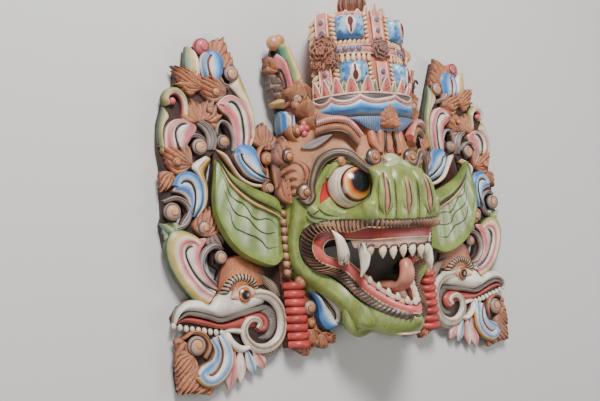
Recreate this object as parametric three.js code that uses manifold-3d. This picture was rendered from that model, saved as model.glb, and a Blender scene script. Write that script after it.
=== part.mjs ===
// A carved and painted wooden barong mask: a beast's face with a hollow back and an open mouth, a tall
// crown, two side plumes, two ears and two openwork side boards that end below in birds' heads.
// Millimetres. X runs across the face, Y up to the crown and Z out of the face. The mask lies on its back.
import * as THREE from "three";
import { mergeVertices } from "three/addons/utils/BufferGeometryUtils.js";
import Module from "manifold-3d";

// Fit and walls
const GAP = 0.3; // clearance between pieces that touch
const BOARD = 12; // thickness of the side boards' ground
const PLUME_BACK = 12; // height of the plumes' back above the ground
const PLUME_BOARD = 16; // thickness of the plumes' ground
const EAR_THICKNESS = 9;
const FACE_WALL = 15; // wood left between the hollow and the face

// Overall sizes
const FACE_HALF = 138; // half width of the face block, where the side boards meet it
const WING_REACH = 170; // how far a side board stands out past the face block
const CROWN_SEAT = 60; // height at which the crown sits on the face block
const CROWN_HEIGHT = 154; // from the seat to the rim of the crown's top
const FINIAL_HEIGHT = 56; // from that rim to the flame's tip
const HOLLOW_HALF = 88; // half width of the hollow at the back

// Features
const RELIEF = 13; // how far the boards' relief stands above their ground
const EYE_RADIUS = 33;
const EYE = { x: 54, y: -33, z: 75 };
const BEAD_RADIUS = 7;
const BEAD_COLUMN = { x: 129, top: -62, pitch: 12.5, count: 8, z: 20 };
const FANG_RADIUS = 6.5;
const TOOTH_RADIUS = 4.4;
const LIP_RADIUS = 6;
const BROW_RADIUS = 6;

const wasm = await Module();
wasm.setup();

// Solids from rings of points

function solidOf(positions, faces) {
  const geometry = new THREE.BufferGeometry();
  geometry.setAttribute("position", new THREE.Float32BufferAttribute(positions, 3));
  geometry.setIndex(faces);
  return solidFrom(geometry);
}

function solidFrom(source) {
  const bare = source.clone();
  bare.deleteAttribute("normal");
  bare.deleteAttribute("uv");
  const merged = mergeVertices(bare, 1e-4);
  const points = merged.attributes.position.array;
  const faces = Array.from(merged.index.array);
  if (volumeOf(points, faces) < 0) faces.reverse();
  return new wasm.Manifold(
    new wasm.Mesh({
      numProp: 3,
      vertProperties: new Float32Array(points),
      triVerts: new Uint32Array(faces),
    }),
  );
}

function volumeOf(points, faces) {
  const corner = (i) => new THREE.Vector3().fromArray(points, 3 * faces[i]);
  let total = 0;
  for (let i = 0; i < faces.length; i += 3) {
    total += corner(i).dot(corner(i + 1).cross(corner(i + 2))) / 6;
  }
  return total;
}

function join(solids) {
  return solids.reduce((whole, next) => whole.add(next));
}

function capOf(ring) {
  const centre = ring.reduce((sum, p) => sum.add(p), new THREE.Vector3()).divideScalar(ring.length);
  const normal = new THREE.Vector3();
  ring.forEach((p, i) => {
    const next = ring[(i + 1) % ring.length];
    normal.add(p.clone().sub(centre).cross(next.clone().sub(centre)));
  });
  normal.normalize();
  const across = new THREE.Vector3(0.31, 0.87, 0.38).cross(normal).normalize();
  const along = normal.clone().cross(across);
  const flat = ring.map((p) => new THREE.Vector2(p.dot(across), p.dot(along)));
  return THREE.ShapeUtils.triangulateShape(flat, []);
}

// A closed skin over rings that all have the same number of points.
function skin(rings) {
  const count = rings[0].length;
  const positions = rings.flat().flatMap((p) => [p.x, p.y, p.z]);
  const faces = [];
  for (let i = 0; i < rings.length - 1; i += 1) {
    for (let j = 0; j < count; j += 1) {
      const a = i * count + j;
      const b = i * count + ((j + 1) % count);
      faces.push(a, b, b + count, a, b + count, a + count);
    }
  }
  const last = (rings.length - 1) * count;
  for (const [a, b, c] of capOf(rings[0])) faces.push(c, b, a);
  for (const [a, b, c] of capOf(rings[rings.length - 1])) faces.push(last + a, last + b, last + c);
  return solidOf(positions, faces);
}

function alongCurve(points, steps) {
  const curve = new THREE.CatmullRomCurve3(points, false, "centripetal");
  return Array.from({ length: steps + 1 }, (_, i) => ({
    place: curve.getPointAt(i / steps),
    direction: curve.getTangentAt(i / steps),
    t: curve.getUtoTmapping(i / steps) * (points.length - 1),
  }));
}

function mixed(values, t) {
  const i = Math.min(Math.floor(t), values.length - 2);
  return THREE.MathUtils.lerp(values[i], values[i + 1], t - i);
}

// A raised band on a board. Each stop is [x, y, half width], and the band's back is buried in the ground.
// A narrow band comes to a ridge, and a wide one has a flat top.
const NARROW = 7;

function lobe(stops, top, base = BOARD - 4, steps = 4) {
  const places = stops.map(([x, y]) => new THREE.Vector3(x, y, 0));
  const halves = stops.map((stop) => stop[2]);
  const ridge = Math.max(...halves) < NARROW ? [0] : [0.55, -0.55];
  const rings = alongCurve(places, steps).map(({ place, direction, t }) => {
    const side = new THREE.Vector3(-direction.y, direction.x, 0);
    const half = mixed(halves, t);
    const at = (share, z) => place.clone().addScaledVector(side, share * half).setZ(z);
    return [at(-1, base), at(1, base), ...ridge.map((share) => at(share, top))];
  });
  return skin(rings);
}

function ball(x, y, z, radius, across = 6, up = 4) {
  return solidFrom(new THREE.SphereGeometry(radius, across, up).rotateX(Math.PI / 2).translate(x, y, z));
}

// A carved leaf with a notched edge and a ridge, lying from its base to its tip.
function leaf(base, tip, half, top, bottom = BOARD - 4, notches = 2) {
  const start = new THREE.Vector3(base[0], base[1], 0);
  const run = new THREE.Vector3(tip[0] - base[0], tip[1] - base[1], 0);
  const side = new THREE.Vector3(-run.y, run.x, 0).normalize();
  const rings = [];
  for (let i = 0; i <= 2 * notches; i += 1) {
    const t = i / (2 * notches);
    const swell = half * Math.sin(Math.PI * (0.2 + 0.8 * t)) ** 0.7;
    const notch = i % 2 ? 1 : 0.74;
    const width = Math.max(swell * notch, 0.8);
    const middle = start.clone().addScaledVector(run, t);
    const crest = bottom + (top - bottom) * (1 - 0.35 * t);
    const at = (share, z) => middle.clone().addScaledVector(side, share * width).setZ(z);
    rings.push([at(-1, bottom), at(1, bottom), at(0, crest)]);
  }
  return skin(rings);
}

// A round bar through points in space, with a radius at each of them. Its sides keep level with an axis
// that the bar never runs along.
const OUT_OF_FACE = new THREE.Vector3(0.05, 0.1, 1);
const ACROSS_FACE = new THREE.Vector3(1, 0, 0);

function bar(points, radii, steps = 8, sides = 6, level = OUT_OF_FACE) {
  const places = points.map((p) => new THREE.Vector3(...p));
  const rings = alongCurve(places, steps).map(({ place, direction, t }) => {
    const across = direction.clone().cross(level).normalize();
    const up = across.clone().cross(direction);
    const radius = mixed(radii, t);
    return Array.from({ length: sides }, (_, k) => {
      const angle = (2 * Math.PI * (k + 0.5)) / sides;
      return place
        .clone()
        .addScaledVector(across, radius * Math.cos(angle))
        .addScaledVector(up, radius * Math.sin(angle));
    });
  });
  return skin(rings);
}

function plate(outline, bottom, thickness) {
  const shape = new THREE.Shape(outline.map(([x, y]) => new THREE.Vector2(x, y)));
  const geometry = new THREE.ExtrudeGeometry(shape, { depth: thickness, bevelEnabled: false });
  return solidFrom(geometry.translate(0, 0, bottom));
}

function block(low, high) {
  const size = high.map((value, i) => value - low[i]);
  const middle = high.map((value, i) => (value + low[i]) / 2);
  return solidFrom(new THREE.BoxGeometry(...size).translate(...middle));
}

function mirrored(solid) {
  const { vertProperties, triVerts, numProp } = solid.getMesh();
  const positions = [];
  for (let i = 0; i < vertProperties.length; i += numProp) {
    positions.push(-vertProperties[i], vertProperties[i + 1], vertProperties[i + 2]);
  }
  return solidOf(positions, Array.from(triVerts).reverse());
}

function bothSides(solid) {
  return solid.add(mirrored(solid));
}

// The face block: levels down the face, each a half profile of [x, z] from the middle to the side. The
// head is drawn FACE_DRAWN wide to a side, a little past its rim, then stretched and trimmed to FACE_HALF.
const FACE_DRAWN = 138;
const RIM_DRAWN = FACE_DRAWN + 3;

function stretchedFace(solid) {
  return solid.scale([FACE_HALF / FACE_DRAWN, 1, 1]);
}

const FLUTE = 4; // depth between the snout's flutes

function snoutRow(half, front, side) {
  const crest = front - FLUTE;
  return [
    [0, front],
    [half * 0.2, front - 1],
    [half * 0.38, crest],
    [half * 0.56, front - 1.5],
    [half * 0.78, front - 2],
    [half, crest - 3],
    ...side,
  ];
}

const FACE_LEVELS = [
  [CROWN_SEAT - GAP / 2, [[0, 98], [20, 97], [38, 92], [56, 84], [72, 72], [84, 56], [90, 42], [92, 20]]],
  [45, [[0, 100], [20, 98], [40, 94], [60, 86], [78, 74], [90, 56], [97, 42], [99, 20]]],
  [30, [[0, 101], [20, 99], [38, 95], [60, 86], [82, 72], [103, 54], [118, 38], [122, 20]]],
  [8, [[0, 106], [16, 102], [32, 95], [58, 84], [84, 68], [110, 47], [132, 30], [RIM_DRAWN, 16]]],
  [-10, [[0, 116], [16, 113], [30, 105], [48, 88], [84, 64], [112, 45], [132, 26], [RIM_DRAWN, 14]]],
  [-20, snoutRow(44, 136, [[96, 60], [RIM_DRAWN, 14]])],
  [-48, snoutRow(52, 139, [[100, 58], [RIM_DRAWN, 14]])],
  [-70, snoutRow(66, 138, [[104, 56], [RIM_DRAWN, 14]])],
  [-88, snoutRow(66, 132, [[106, 54], [RIM_DRAWN, 14]])],
  [-116, snoutRow(62, 128, [[106, 52], [RIM_DRAWN, 14]])],
];

function mirroredRing(level, half, back, extra = 0) {
  const grown = half.map(([x, z]) => {
    const length = Math.hypot(x, z);
    return [x + (extra * x) / length, z + (extra * z) / length];
  });
  const right = [...grown, [grown[grown.length - 1][0], back]];
  const left = right
    .filter(([x]) => x > 0)
    .map(([x, z]) => [-x, z])
    .reverse();
  return [...right, ...left].map(([x, z]) => new THREE.Vector3(x, level, z));
}

function faceBlock(extra = 0) {
  return skin(FACE_LEVELS.map(([level, half]) => mirroredRing(level, half, 0, extra)));
}

// Lower face: the flat cheeks round the corners of the mouth and the narrow jaw that stands out of them.
const CHEEK_HEIGHT = 46;
const CHEEK = [
  [RIM_DRAWN, -100],
  [RIM_DRAWN, -246],
  [112, -252],
  [84, -246],
  [74, -205],
  [50, -210],
  [42, -232],
  [18, -240],
];
const MOUTH = [
  [90, -116],
  [93, -122],
  [74, -136],
  [52, -146],
  [42, -158],
  [36, -172],
];
// The lip's path from the middle of the jaw's front to the corner of the mouth, as [x, y, z].
const LOWER_LIP = [
  [0, -207, 138],
  [14, -203, 132],
  [26, -195, 119],
  [36, -184, 101],
  [42, -170, 84],
  [46, -158, 68],
  [56, -147, 58],
  [75, -137, 54],
  [95, -126, 50],
];
const UPPER_LIP = [
  [0, -101, 131],
  [30, -100, 129],
  [56, -98, 124],
  [66, -98, 108],
  [76, -101, 84],
  [88, -108, 64],
  [98, -117, 52],
];
const JAW_STATIONS = [
  // depth, half width, height of the lip, bottom
  [20, 50, -158, -238],
  [68, 48, -160, -238],
  [84, 44, -172, -241],
  [101, 38, -186, -242],
  [119, 28, -197, -239],
  [132, 16, -205, -232],
  [139, 6, -209, -222],
];

function jaw() {
  return skin(
    JAW_STATIONS.map(([z, half, lip, bottom]) => {
      const side = [
        [half, lip],
        [half * 1.06, (lip * 2 + bottom) / 3],
        [half * 0.95, (lip + bottom * 2) / 3],
        [half * 0.55, bottom + 3],
      ];
      const left = side.map(([x, y]) => [-x, y]).reverse();
      const ring = [...side, [0, bottom], ...left, [0, lip]];
      return ring.map(([x, y]) => new THREE.Vector3(x, y, z));
    }),
  );
}

const JAW_RIM = 9; // width of the gum left round the tongue
const FLOOR_DEPTH = 12; // depth of the mouth's floor below the lip

function jawTrough() {
  return skin(
    JAW_STATIONS.slice(1, 5).map(([z, half, lip], i) => {
      const width = half - JAW_RIM;
      const floor = lip - FLOOR_DEPTH;
      const at = (x, y) => new THREE.Vector3(x, y, i ? z : 0);
      return [at(width, lip + 60), at(-width, lip + 60), at(-width * 0.8, floor), at(width * 0.8, floor)];
    }),
  );
}

function outlineBothSides(half) {
  const left = half.map(([x, y]) => [-x, y]).reverse();
  return [...half, ...left];
}

function hollow() {
  const inner = HOLLOW_HALF;
  const levels = [
    [CROWN_SEAT - FACE_WALL, [[0, 70], [40, 62], [70, 42], [inner - 8, 20]]],
    [20, [[0, 84], [40, 76], [74, 52], [inner, 20]]],
    [-25, [[0, 112], [26, 106], [40, 52], [inner, 24]]],
    [-80, [[0, 118], [44, 112], [60, 60], [inner, 26]]],
    [-126, [[0, 112], [44, 106], [58, 60], [inner, 26]]],
  ];
  return skin(levels.map(([level, half]) => mirroredRing(level, half, -2)));
}

// The snout's slits, each a narrow leaf cut into a flute.
const SLIT = { half: 3.2, top: -26, bottom: -76, depth: 6, spread: 37 };

function slits() {
  return [-1, 0, 1].map((side) => {
    const x = side * SLIT.spread;
    const middle = (SLIT.top + SLIT.bottom) / 2;
    const outline = [[x, SLIT.top], [x - SLIT.half, middle], [x, SLIT.bottom], [x + SLIT.half, middle]];
    const front = FACE_LEVELS[6][1][0][1];
    return plate(outline, front - SLIT.depth - Math.abs(side) * 2, 30);
  });
}

// Brows: one bar over each eye, from the volute at the temple to the volute beside the nose.
const BROW = [
  [112, -34, 62],
  [118, -46, 58],
  [104, -50, 66],
  [92, -36, 78],
  [80, -12, 84],
  [66, 4, 92],
  [46, 10, 98],
  [30, -2, 106],
  [16, -4, 116],
  [10, 6, 112],
];

function brow() {
  const radii = BROW.map((_, i) => BROW_RADIUS * (i === 0 || i === BROW.length - 1 ? 0.7 : 1));
  return join([bar(BROW, radii, 8, 4), ball(109, -36, 66, 6, 5, 3), ball(22, 7, 104, 9, 5, 3)]);
}

// The forehead's ribbed arches and the upright ornament between them.
function forehead() {
  const arch = bar([[104, 30, 56], [88, 48, 72], [62, 54, 90], [36, 50, 100], [22, 32, 106]], [4, 5, 6, 5, 4], 5, 4);
  return arch;
}

const ORNAMENT = { x: 11, bottom: 14, top: 84, z: 104 };

function ornament() {
  const { x, bottom, top, z } = ORNAMENT;
  const middle = bar([[0, bottom, z], [0, bottom + 34, z + 8], [0, top, z + 2]], [9, 9, 2], 4, 5);
  const side = bar([[x, bottom, z - 2], [x + 7, bottom + 26, z + 2], [x + 4, top - 20, z]], [6, 7, 3], 3, 4);
  return middle.add(bothSides(side));
}

// Temple carving, the bead columns beside the ears and the small leaves and balls below the jaw.
function temple() {
  return join([
    leaf([118, -30], [122, 34], 14, 44, 16),
    ball(124, 14, 34, 9),
    beadColumn(),
  ]);
}

function beadColumn() {
  const { x, top, pitch, count, z } = BEAD_COLUMN;
  const rings = Array.from({ length: 2 * count + 1 }, (_, i) => {
    const radius = i % 2 ? BEAD_RADIUS : BEAD_RADIUS * 0.5;
    const y = top - (i * pitch) / 2;
    const corners = [[-1, 0], [0, 1], [1, 0], [0, -1]];
    return corners.map(([across, out]) => new THREE.Vector3(x + across * radius, y, z + out * radius));
  });
  return skin(rings);
}

const CHEEK_BAND = [
  [112, -34, 50],
  [119, -58, 46],
  [122, -90, 42],
  [120, -126, 42],
  [104, -156, 44],
  [78, -172, 48],
  [54, -188, 52],
  [46, -212, 56],
  [36, -232, 60],
];

function cheekBand() {
  return bar(CHEEK_BAND, [6, 9, 10, 11, 12, 12, 12, 12, 10], 6, 5);
}

const STRIP = { x: 122, half: 12, top: -166, bottom: -248, ribs: 6, height: 36 };

function sideFoliage() {
  const step = (STRIP.top - STRIP.bottom) / STRIP.ribs;
  const ribs = Array.from({ length: STRIP.ribs }, (_, i) => {
    const y = STRIP.top - i * step;
    const low = [STRIP.x - STRIP.half, y - step, 20];
    return block(low, [STRIP.x + STRIP.half, y - step * 0.2, STRIP.height - 3 * (i % 2)]);
  });
  return join([
    plate([[RIM_DRAWN, -150], [RIM_DRAWN, -246], [112, -252], [84, -246], [70, -190], [100, -150]], 8, 24),
    ...ribs,
    ball(100, -166, 36, 9, 5, 3),
    ball(94, -196, 34, 11, 5, 3),
    ball(98, -222, 32, 8, 5, 3),
    lobe([[80, -178, 6], [72, -202, 10], [76, -224, 8]], 40, 20, 5),
  ]);
}

// Teeth: a front row in each jaw, set in the gums.
function tooth(x, y, z, down, size = 1) {
  const length = 17 * size * (down ? -1 : 1);
  return bar([[x, y, z], [x, y + length * 0.6, z], [x, y + length, z + 1]], [TOOTH_RADIUS, 3.4, 0.8], 2, 4);
}

function teeth() {
  const upper = [9, 28, 47].map((x) => tooth(x, -121, 120 - x * 0.06, true));
  const lower = [
    [6, -204, 132],
    [17, -198, 124],
    [26, -190, 111],
    [33, -179, 95],
  ].map(([x, y, z]) => tooth(x - 3, y - 4, z - 4, false, 0.8));
  return [...upper, ...lower].map(bothSides);
}

function upperGum() {
  const profile = [[0, 122], [30, 121], [50, 117], [55, 104], [60, 90]];
  const inner = profile.map(([x, z]) => [x - 8, z - 14]);
  const outline = [...profile, ...inner.slice(1).reverse(), [0, 106]];
  const ring = (y) => outline.map(([x, z]) => new THREE.Vector3(x, y, z));
  return bothSides(skin([ring(-110), ring(-124)]));
}

function head() {
  const lips = [
    bar(UPPER_LIP, UPPER_LIP.map(() => LIP_RADIUS), 5, 5),
    bar(LOWER_LIP, LOWER_LIP.map(() => LIP_RADIUS), 7, 5),
  ];
  const outer = join([
    faceBlock(),
    plate(outlineBothSides(CHEEK), 0, CHEEK_HEIGHT),
    jaw(),
    ...lips.map(bothSides),
    bothSides(cheekBand()),
    bothSides(temple()),
    bothSides(sideFoliage()),
  ]);
  const opened = stretchedFace(
    outer.subtract(plate(outlineBothSides(MOUTH), -2, 70)).subtract(jawTrough()),
  ).subtract(hollow());
  const carved = join([
    opened,
    upperGum(),
    bothSides(ball(EYE.x, EYE.y, EYE.z, EYE_RADIUS, 10, 6)),
    bothSides(brow()),
    bothSides(forehead()),
    ornament(),
    ...teeth(),
  ]);
  const sides = block(
    [-FACE_HALF + GAP / 2, -400, 0],
    [FACE_HALF - GAP / 2, 400, 400],
  );
  return slits()
    .reduce((whole, slit) => whole.subtract(slit), carved)
    .intersect(sides)
    .subtract(crownBody(GAP))
    .subtract(fangSockets());
}

// The crown: a scalloped band, a collar of petals, two rows of domes between jewelled bands, and a flame.
const CROWN_PLAN = [
  [0, 108],
  [22, 107],
  [42, 100],
  [60, 88],
  [72, 72],
  [76, 54],
  [62, 30],
  [47, 8],
];

const BAND_SWELL = 12; // how far the scalloped band stands out of the crown
const COLLAR_LEVEL = 38; // height of the collar above the seat

function crownRing(level, extra, share = 1) {
  const half = CROWN_PLAN.map(([x, z]) => [x * share, z * share]);
  return mirroredRing(CROWN_SEAT + level, half, 0, extra);
}

function crownBody(extra = 0) {
  const foot = extra ? -extra : GAP / 2;
  const back = extra ? 2 : 0;
  const rings = [
    crownRing(foot, -6 + extra),
    crownRing(14, BAND_SWELL - 14 + extra),
    crownRing(30, BAND_SWELL - 8 + extra),
    crownRing(COLLAR_LEVEL, -2 + extra),
    crownRing(COLLAR_LEVEL + 22, extra),
    crownRing(COLLAR_LEVEL + 27, -6 + extra),
    crownRing(CROWN_HEIGHT - 12, -8 + extra),
    crownRing(CROWN_HEIGHT, -18 + extra),
    crownRing(CROWN_HEIGHT + 13, -34 + extra),
  ];
  for (const ring of rings) for (const p of ring) if (p.z === 0) p.z = -back;
  return skin(rings);
}

function planPoint(angle, out) {
  const squared = (share) => Math.sign(share) * Math.abs(share) ** 0.77;
  return new THREE.Vector3(squared(Math.sin(angle)) * (79 + out), 0, squared(Math.cos(angle)) * (108 + out));
}

function crownDome(level, angle, width, height) {
  const place = planPoint(angle, -14);
  const geometry = new THREE.SphereGeometry(1, 8, 5)
    .scale(width, height, 23)
    .rotateY(angle)
    .translate(place.x, CROWN_SEAT + level, place.z);
  return solidFrom(geometry);
}

function uprightBand(angle) {
  const out = planPoint(angle, -4);
  const size = new THREE.BoxGeometry(20, CROWN_HEIGHT - COLLAR_LEVEL - 12, 12);
  const level = CROWN_SEAT + (CROWN_HEIGHT + COLLAR_LEVEL + 6) / 2;
  return solidFrom(size.rotateY(angle).translate(out.x * 0.96, level, out.z * 0.96));
}

function petal(angle, height, half) {
  const out = planPoint(angle, 0);
  const shape = new THREE.Shape([
    new THREE.Vector2(-half, 0),
    new THREE.Vector2(half, 0),
    new THREE.Vector2(0, height),
  ]);
  const geometry = new THREE.ExtrudeGeometry(shape, { depth: 9, bevelEnabled: false })
    .translate(0, 0, -7)
    .rotateY(angle)
    .translate(out.x, CROWN_SEAT + COLLAR_LEVEL, out.z);
  return solidFrom(geometry);
}

const PETALS = 9;
const PETAL_HEIGHT = 28;
const BAND_ANGLES = [-1.02, 0, 1.02];
const DOME_ANGLES = [-0.46, 0.46];
const DOME_LEVELS = [62, 128]; // heights of the domes' middles above the seat
const ROSETTE_LEVEL = 95;

function crown() {
  const reach = 1.1;
  const petals = Array.from({ length: PETALS }, (_, i) =>
    petal(-reach + (2 * reach * i) / (PETALS - 1), PETAL_HEIGHT, 12),
  );
  const domes = DOME_LEVELS.flatMap((level) =>
    DOME_ANGLES.map((angle) => crownDome(level, angle, 24, 20)),
  );
  const rosettes = BAND_ANGLES.map((angle) => {
    const out = planPoint(angle, -4);
    return ball(out.x, CROWN_SEAT + ROSETTE_LEVEL, out.z, 17);
  });
  const girdle = skin([
    crownRing(ROSETTE_LEVEL - 11, -8),
    crownRing(ROSETTE_LEVEL - 8, 0),
    crownRing(ROSETTE_LEVEL + 8, 0),
    crownRing(ROSETTE_LEVEL + 11, -8),
  ]);
  const top = CROWN_SEAT + CROWN_HEIGHT;
  const flame = bar([[0, top, 56], [0, top + FINIAL_HEIGHT * 0.5, 57], [0, top + FINIAL_HEIGHT, 58]], [17, 20, 2], 3, 6);
  const tip = bar([[0, top - 16, 101], [0, top + 8, 98]], [8, 1], 1, 4);
  const ground = block([-200, CROWN_SEAT + GAP / 2, 0], [200, 500, 300]);
  return join([
    crownBody(),
    ...petals,
    ...domes,
    ...BAND_ANGLES.map(uprightBand),
    ...rosettes,
    girdle,
    flame,
    tip,
  ]).intersect(ground);
}

// A plume: a curved prong beside the crown with a ball at its tip and leaves along its outer edge.
function plume() {
  const back = PLUME_BACK;
  const top = PLUME_BACK + PLUME_BOARD;
  const crest = top + RELIEF;
  const whole = join([
    plate(
      [
        [60, CROWN_SEAT + 2],
        [84, CROWN_SEAT - 10],
        [96, 36],
        [112, 28],
        [126, 46],
        [128, 78],
        [136, 92],
        [136, 112],
        [139, 128],
        [139, 152],
        [132, 174],
        [121, 185],
        [110, 180],
        [98, 158],
        [86, 132],
        [62, 108],
      ],
      back,
      PLUME_BOARD,
    ),
    ball(121, 177, top - 1, 11, 8, 5),
    lobe([[72, 100, 8], [90, 128, 10], [105, 154, 9], [115, 172, 5]], crest, back + 2, 4),
    lobe([[110, 94, 6], [113, 118, 10], [114, 138, 8]], crest + 3, back + 2, 3),
    leaf([120, 130], [139, 154], 9, crest - 3, back + 2, 1),
    leaf([118, 90], [134, 128], 12, crest - 4, back + 2, 1),
    leaf([122, 92], [132, 74], 5, crest - 4, back + 2, 1),
    lobe([[112, 30, 5], [114, 54, 12], [112, 80, 13]], crest, back + 2, 3),
    leaf([104, 58], [98, 126], 17, crest + 22, back + 2),
    ball(108, 90, crest + 4, 9),
    ball(106, 60, crest, 12),
  ]);
  return whole
    .subtract(crownBody(GAP * 3))
    .subtract(stretchedFace(faceBlock(GAP)))
    .subtract(crownShadow());
}

// The room that the crown's petals, and above them its side bands and rosettes, take beside a plume.
function crownShadow() {
  const half = Math.max(...CROWN_PLAN.map(([x]) => x));
  const collar = CROWN_SEAT + COLLAR_LEVEL - 2;
  const beside = block([-half - 8, collar, -2], [half + 8, 300, 200]);
  return beside.add(block([-half - 14, collar + 52, -2], [half + 14, 300, 200]));
}

// An ear: a leaf-shaped plate in front of the side board, with a raised fold along its middle.
const EAR_BACK = BOARD + RELIEF + GAP * 2;

function ear() {
  const root = FACE_HALF + GAP / 2;
  const outline = [
    [root, -150],
    [root, -44],
    [150, -40],
    [178, -29],
    [208, -14],
    [227, 8],
    [240, -18],
    [244, -50],
    [237, -80],
    [221, -105],
    [194, -126],
    [166, -141],
  ];
  const top = EAR_BACK + EAR_THICKNESS;
  const fold = [[224, 0, 4], [210, -32, 6], [184, -54, 6], [160, -70, 6], [152, -92, 6], [166, -106, 4]];
  return join([
    plate(outline, EAR_BACK, EAR_THICKNESS),
    lobe([[root + 5, -52, 5], [168, -40, 9], [200, -24, 8], [222, -2, 4]], top + 6, EAR_BACK + 1, 3),
    lobe(fold, top + 10, EAR_BACK + 1, 6),
    lobe([[root + 8, -142, 7], [176, -124, 10], [206, -102, 8], [226, -76, 5]], top + 5, EAR_BACK + 1, 3),
  ]).intersect(block([root, -400, 0], [500, 400, 400]));
}

// The side boards. Their layout is drawn on a board of WING_DRAWN and stretched to the reach.
const WING_DRAWN = 170;
const wide = (x) => FACE_HALF + ((x - FACE_DRAWN) * WING_REACH) / WING_DRAWN;
const WING_OUTLINE = [
  [130, -246], [130, 62], [146, 66], [160, 48], [163, 88], [178, 120], [178, 138], [190, 166], [198, 184],
  [212, 170], [226, 164], [236, 178], [248, 164], [257, 164], [262, 140], [277, 136], [277, 108], [290, 100],
  [298, 80], [303, 56], [307, 28], [305, -2], [307, -40], [308, -62], [311, -72], [308, -102], [302, -128],
  [288, -152], [276, -170], [296, -176], [305, -190], [302, -206], [284, -208], [294, -218], [303, -236],
  [306, -262], [304, -286], [268, -288], [242, -282], [232, -289], [223, -268], [217, -284], [206, -264],
  [193, -274], [188, -256], [178, -270], [172, -250], [158, -252],
];
const WING_HOLES = [
  [[197, 24], [202, 46], [208, 62], [219, 56], [221, 46], [206, 44], [205, 30]],
  [[201, 140], [209, 130], [206, 117], [198, 116], [204, 128]],
  [[257, 36], [268, 24], [263, 10], [254, 14], [261, 24]],
  [[224, 24], [232, 18], [234, 6], [239, -8], [241, -44], [235, -44], [233, -18], [228, 2]],
  [[290, -44], [278, -48], [275, -60], [286, -71], [283, -58]],
  [[240, -110], [251, -124], [247, -140], [236, -148], [230, -134], [241, -128]],
  [[201, -208], [209, -216], [208, -229], [198, -236], [202, -224]],
  [[274, -212], [262, -217], [255, -230], [260, -240], [262, -228]],
];
const WING_LOBES = [
  // [relief height as a share, stops]
  [1, [[184, 20, 6], [178, 50, 14], [187, 84, 17], [206, 90, 15]]],
  [1, [[152, -20, 4], [172, -10, 10], [184, 6, 13], [180, 26, 14]]],
  [0.8, [[142, 36, 4], [161, 16, 4], [152, -6, 4]]],
  [0.9, [[215, 128, 6], [219, 144, 11], [225, 158, 7]]],
  [0.9, [[247, 126, 5], [251, 145, 8], [255, 161, 3]]],
  [0.8, [[204, 142, 4], [211, 126, 4], [198, 113, 3]]],
  [0.8, [[277, 66, 5], [272, 90, 5], [288, 92, 4]]],
  [1, [[290, 22, 5], [285, 38, 12], [270, 50, 13]]],
  [0.8, [[298, 26, 4], [300, 50, 4], [294, 76, 3]]],
  [0.8, [[226, 30, 7], [236, 48, 9], [250, 62, 6]]],
  [0.8, [[242, 40, 4], [260, 41, 4], [271, 27, 4], [264, 8, 4]]],
  [0.8, [[301, -38, 4], [282, -39, 4], [271, -56, 4], [278, -72, 4], [290, -78, 4]]],
  [1, [[274, -70, 5], [261, -44, 10], [272, -20, 11], [290, -26, 8]]],
  [0.8, [[258, -60, 4], [248, -30, 6], [254, -2, 6], [240, 12, 5]]],
  [0.8, [[226, -106, 4], [246, -104, 4], [257, -120, 4], [255, -140, 4], [240, -154, 4]]],
  [1, [[252, -172, 8], [278, -152, 18], [286, -116, 20], [270, -98, 17]]],
  [0.9, [[176, -174, 12], [206, -174, 14], [250, -181, 11], [284, -178, 9], [303, -200, 2]]],
  [1, [[212, -184, 6], [176, -174, 7], [147, -198, 7], [150, -228, 7], [178, -244, 7], [202, -224, 6],
    [186, -210, 5]]],
  [0.8, [[234, -214, 4], [228, -230, 6], [210, -240, 6], [198, -238, 3]]],
  [0.5, [[142, -240, 5], [162, -248, 5], [188, -246, 5]]],
  [0.9, [[240, -224, 6], [240, -252, 12], [256, -272, 11], [272, -268, 8]]],
  [0.7, [[282, -212, 4], [302, -236, 5], [301, -266, 5], [284, -284, 4]]],
];
const WING_BALLS = [
  [147, 14, 9], [148, -28, 7], [235, 166, 10], [193, 132, 9], [213, 36, 8], [250, 29, 9],
  [296, -56, 11], [253, -78, 10], [232, -118, 9], [203, -170, 11], [272, -230, 13],
];
const WING_LEAVES = [
  // [base, tip, half width]
  [[146, 36], [146, 66], 13],
  [[214, 156], [198, 184], 10],
  [[198, 138], [190, 164], 9],
  [[204, 114], [276, 132], 14],
  [[212, 74], [264, 84], 15],
  [[266, 10], [307, 28], 15],
  [[250, -92], [238, -50], 14],
  [[204, -160], [200, -114], 26],
  [[186, -244], [178, -270], 8],
  [[201, -244], [193, -275], 8],
  [[214, -244], [218, -285], 9],
  [[226, -248], [232, -289], 8],
];

function wing() {
  const stretched = (points) => points.map(([x, ...rest]) => [wide(x), ...rest]);
  const top = (share) => BOARD + RELIEF * share;
  const whole = join([
    plate(stretched(WING_OUTLINE), 0, BOARD),
    ...WING_LOBES.map(([share, stops]) => lobe(stretched(stops), top(share), BOARD - 4, stops.length - 1)),
    ...WING_BALLS.map(([x, y, radius]) => ball(wide(x), y, BOARD + RELIEF - radius, radius, 5, 3)),
    ...WING_LEAVES.map(([base, tip, half]) => leaf(...stretched([base, tip]), half, top(0.8), BOARD - 4, 1)),
  ]);
  const room = block([FACE_HALF + GAP / 2, -400, 0], [600, 400, 200]);
  const openings = WING_HOLES.map((hole) => plate(stretched(hole), -1, BOARD + RELIEF + 2));
  return openings.reduce((board, opening) => board.subtract(opening), whole.intersect(room));
}

// The tongue rises from the jaw's floor and curls at its tip.
const TONGUE = [
  [0, -180, 58],
  [0, -186, 88],
  [0, -183, 112],
  [0, -164, 121],
  [0, -148, 119],
];
const TONGUE_RADIUS = 11;

const TONGUE_SHARES = [0.8, 1, 1, 0.95, 0.8];

function tongue(clearance = 0) {
  const radii = TONGUE_SHARES.map((share) => share * TONGUE_RADIUS + clearance);
  return bar(TONGUE, radii, 6, 6, ACROSS_FACE);
}

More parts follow.
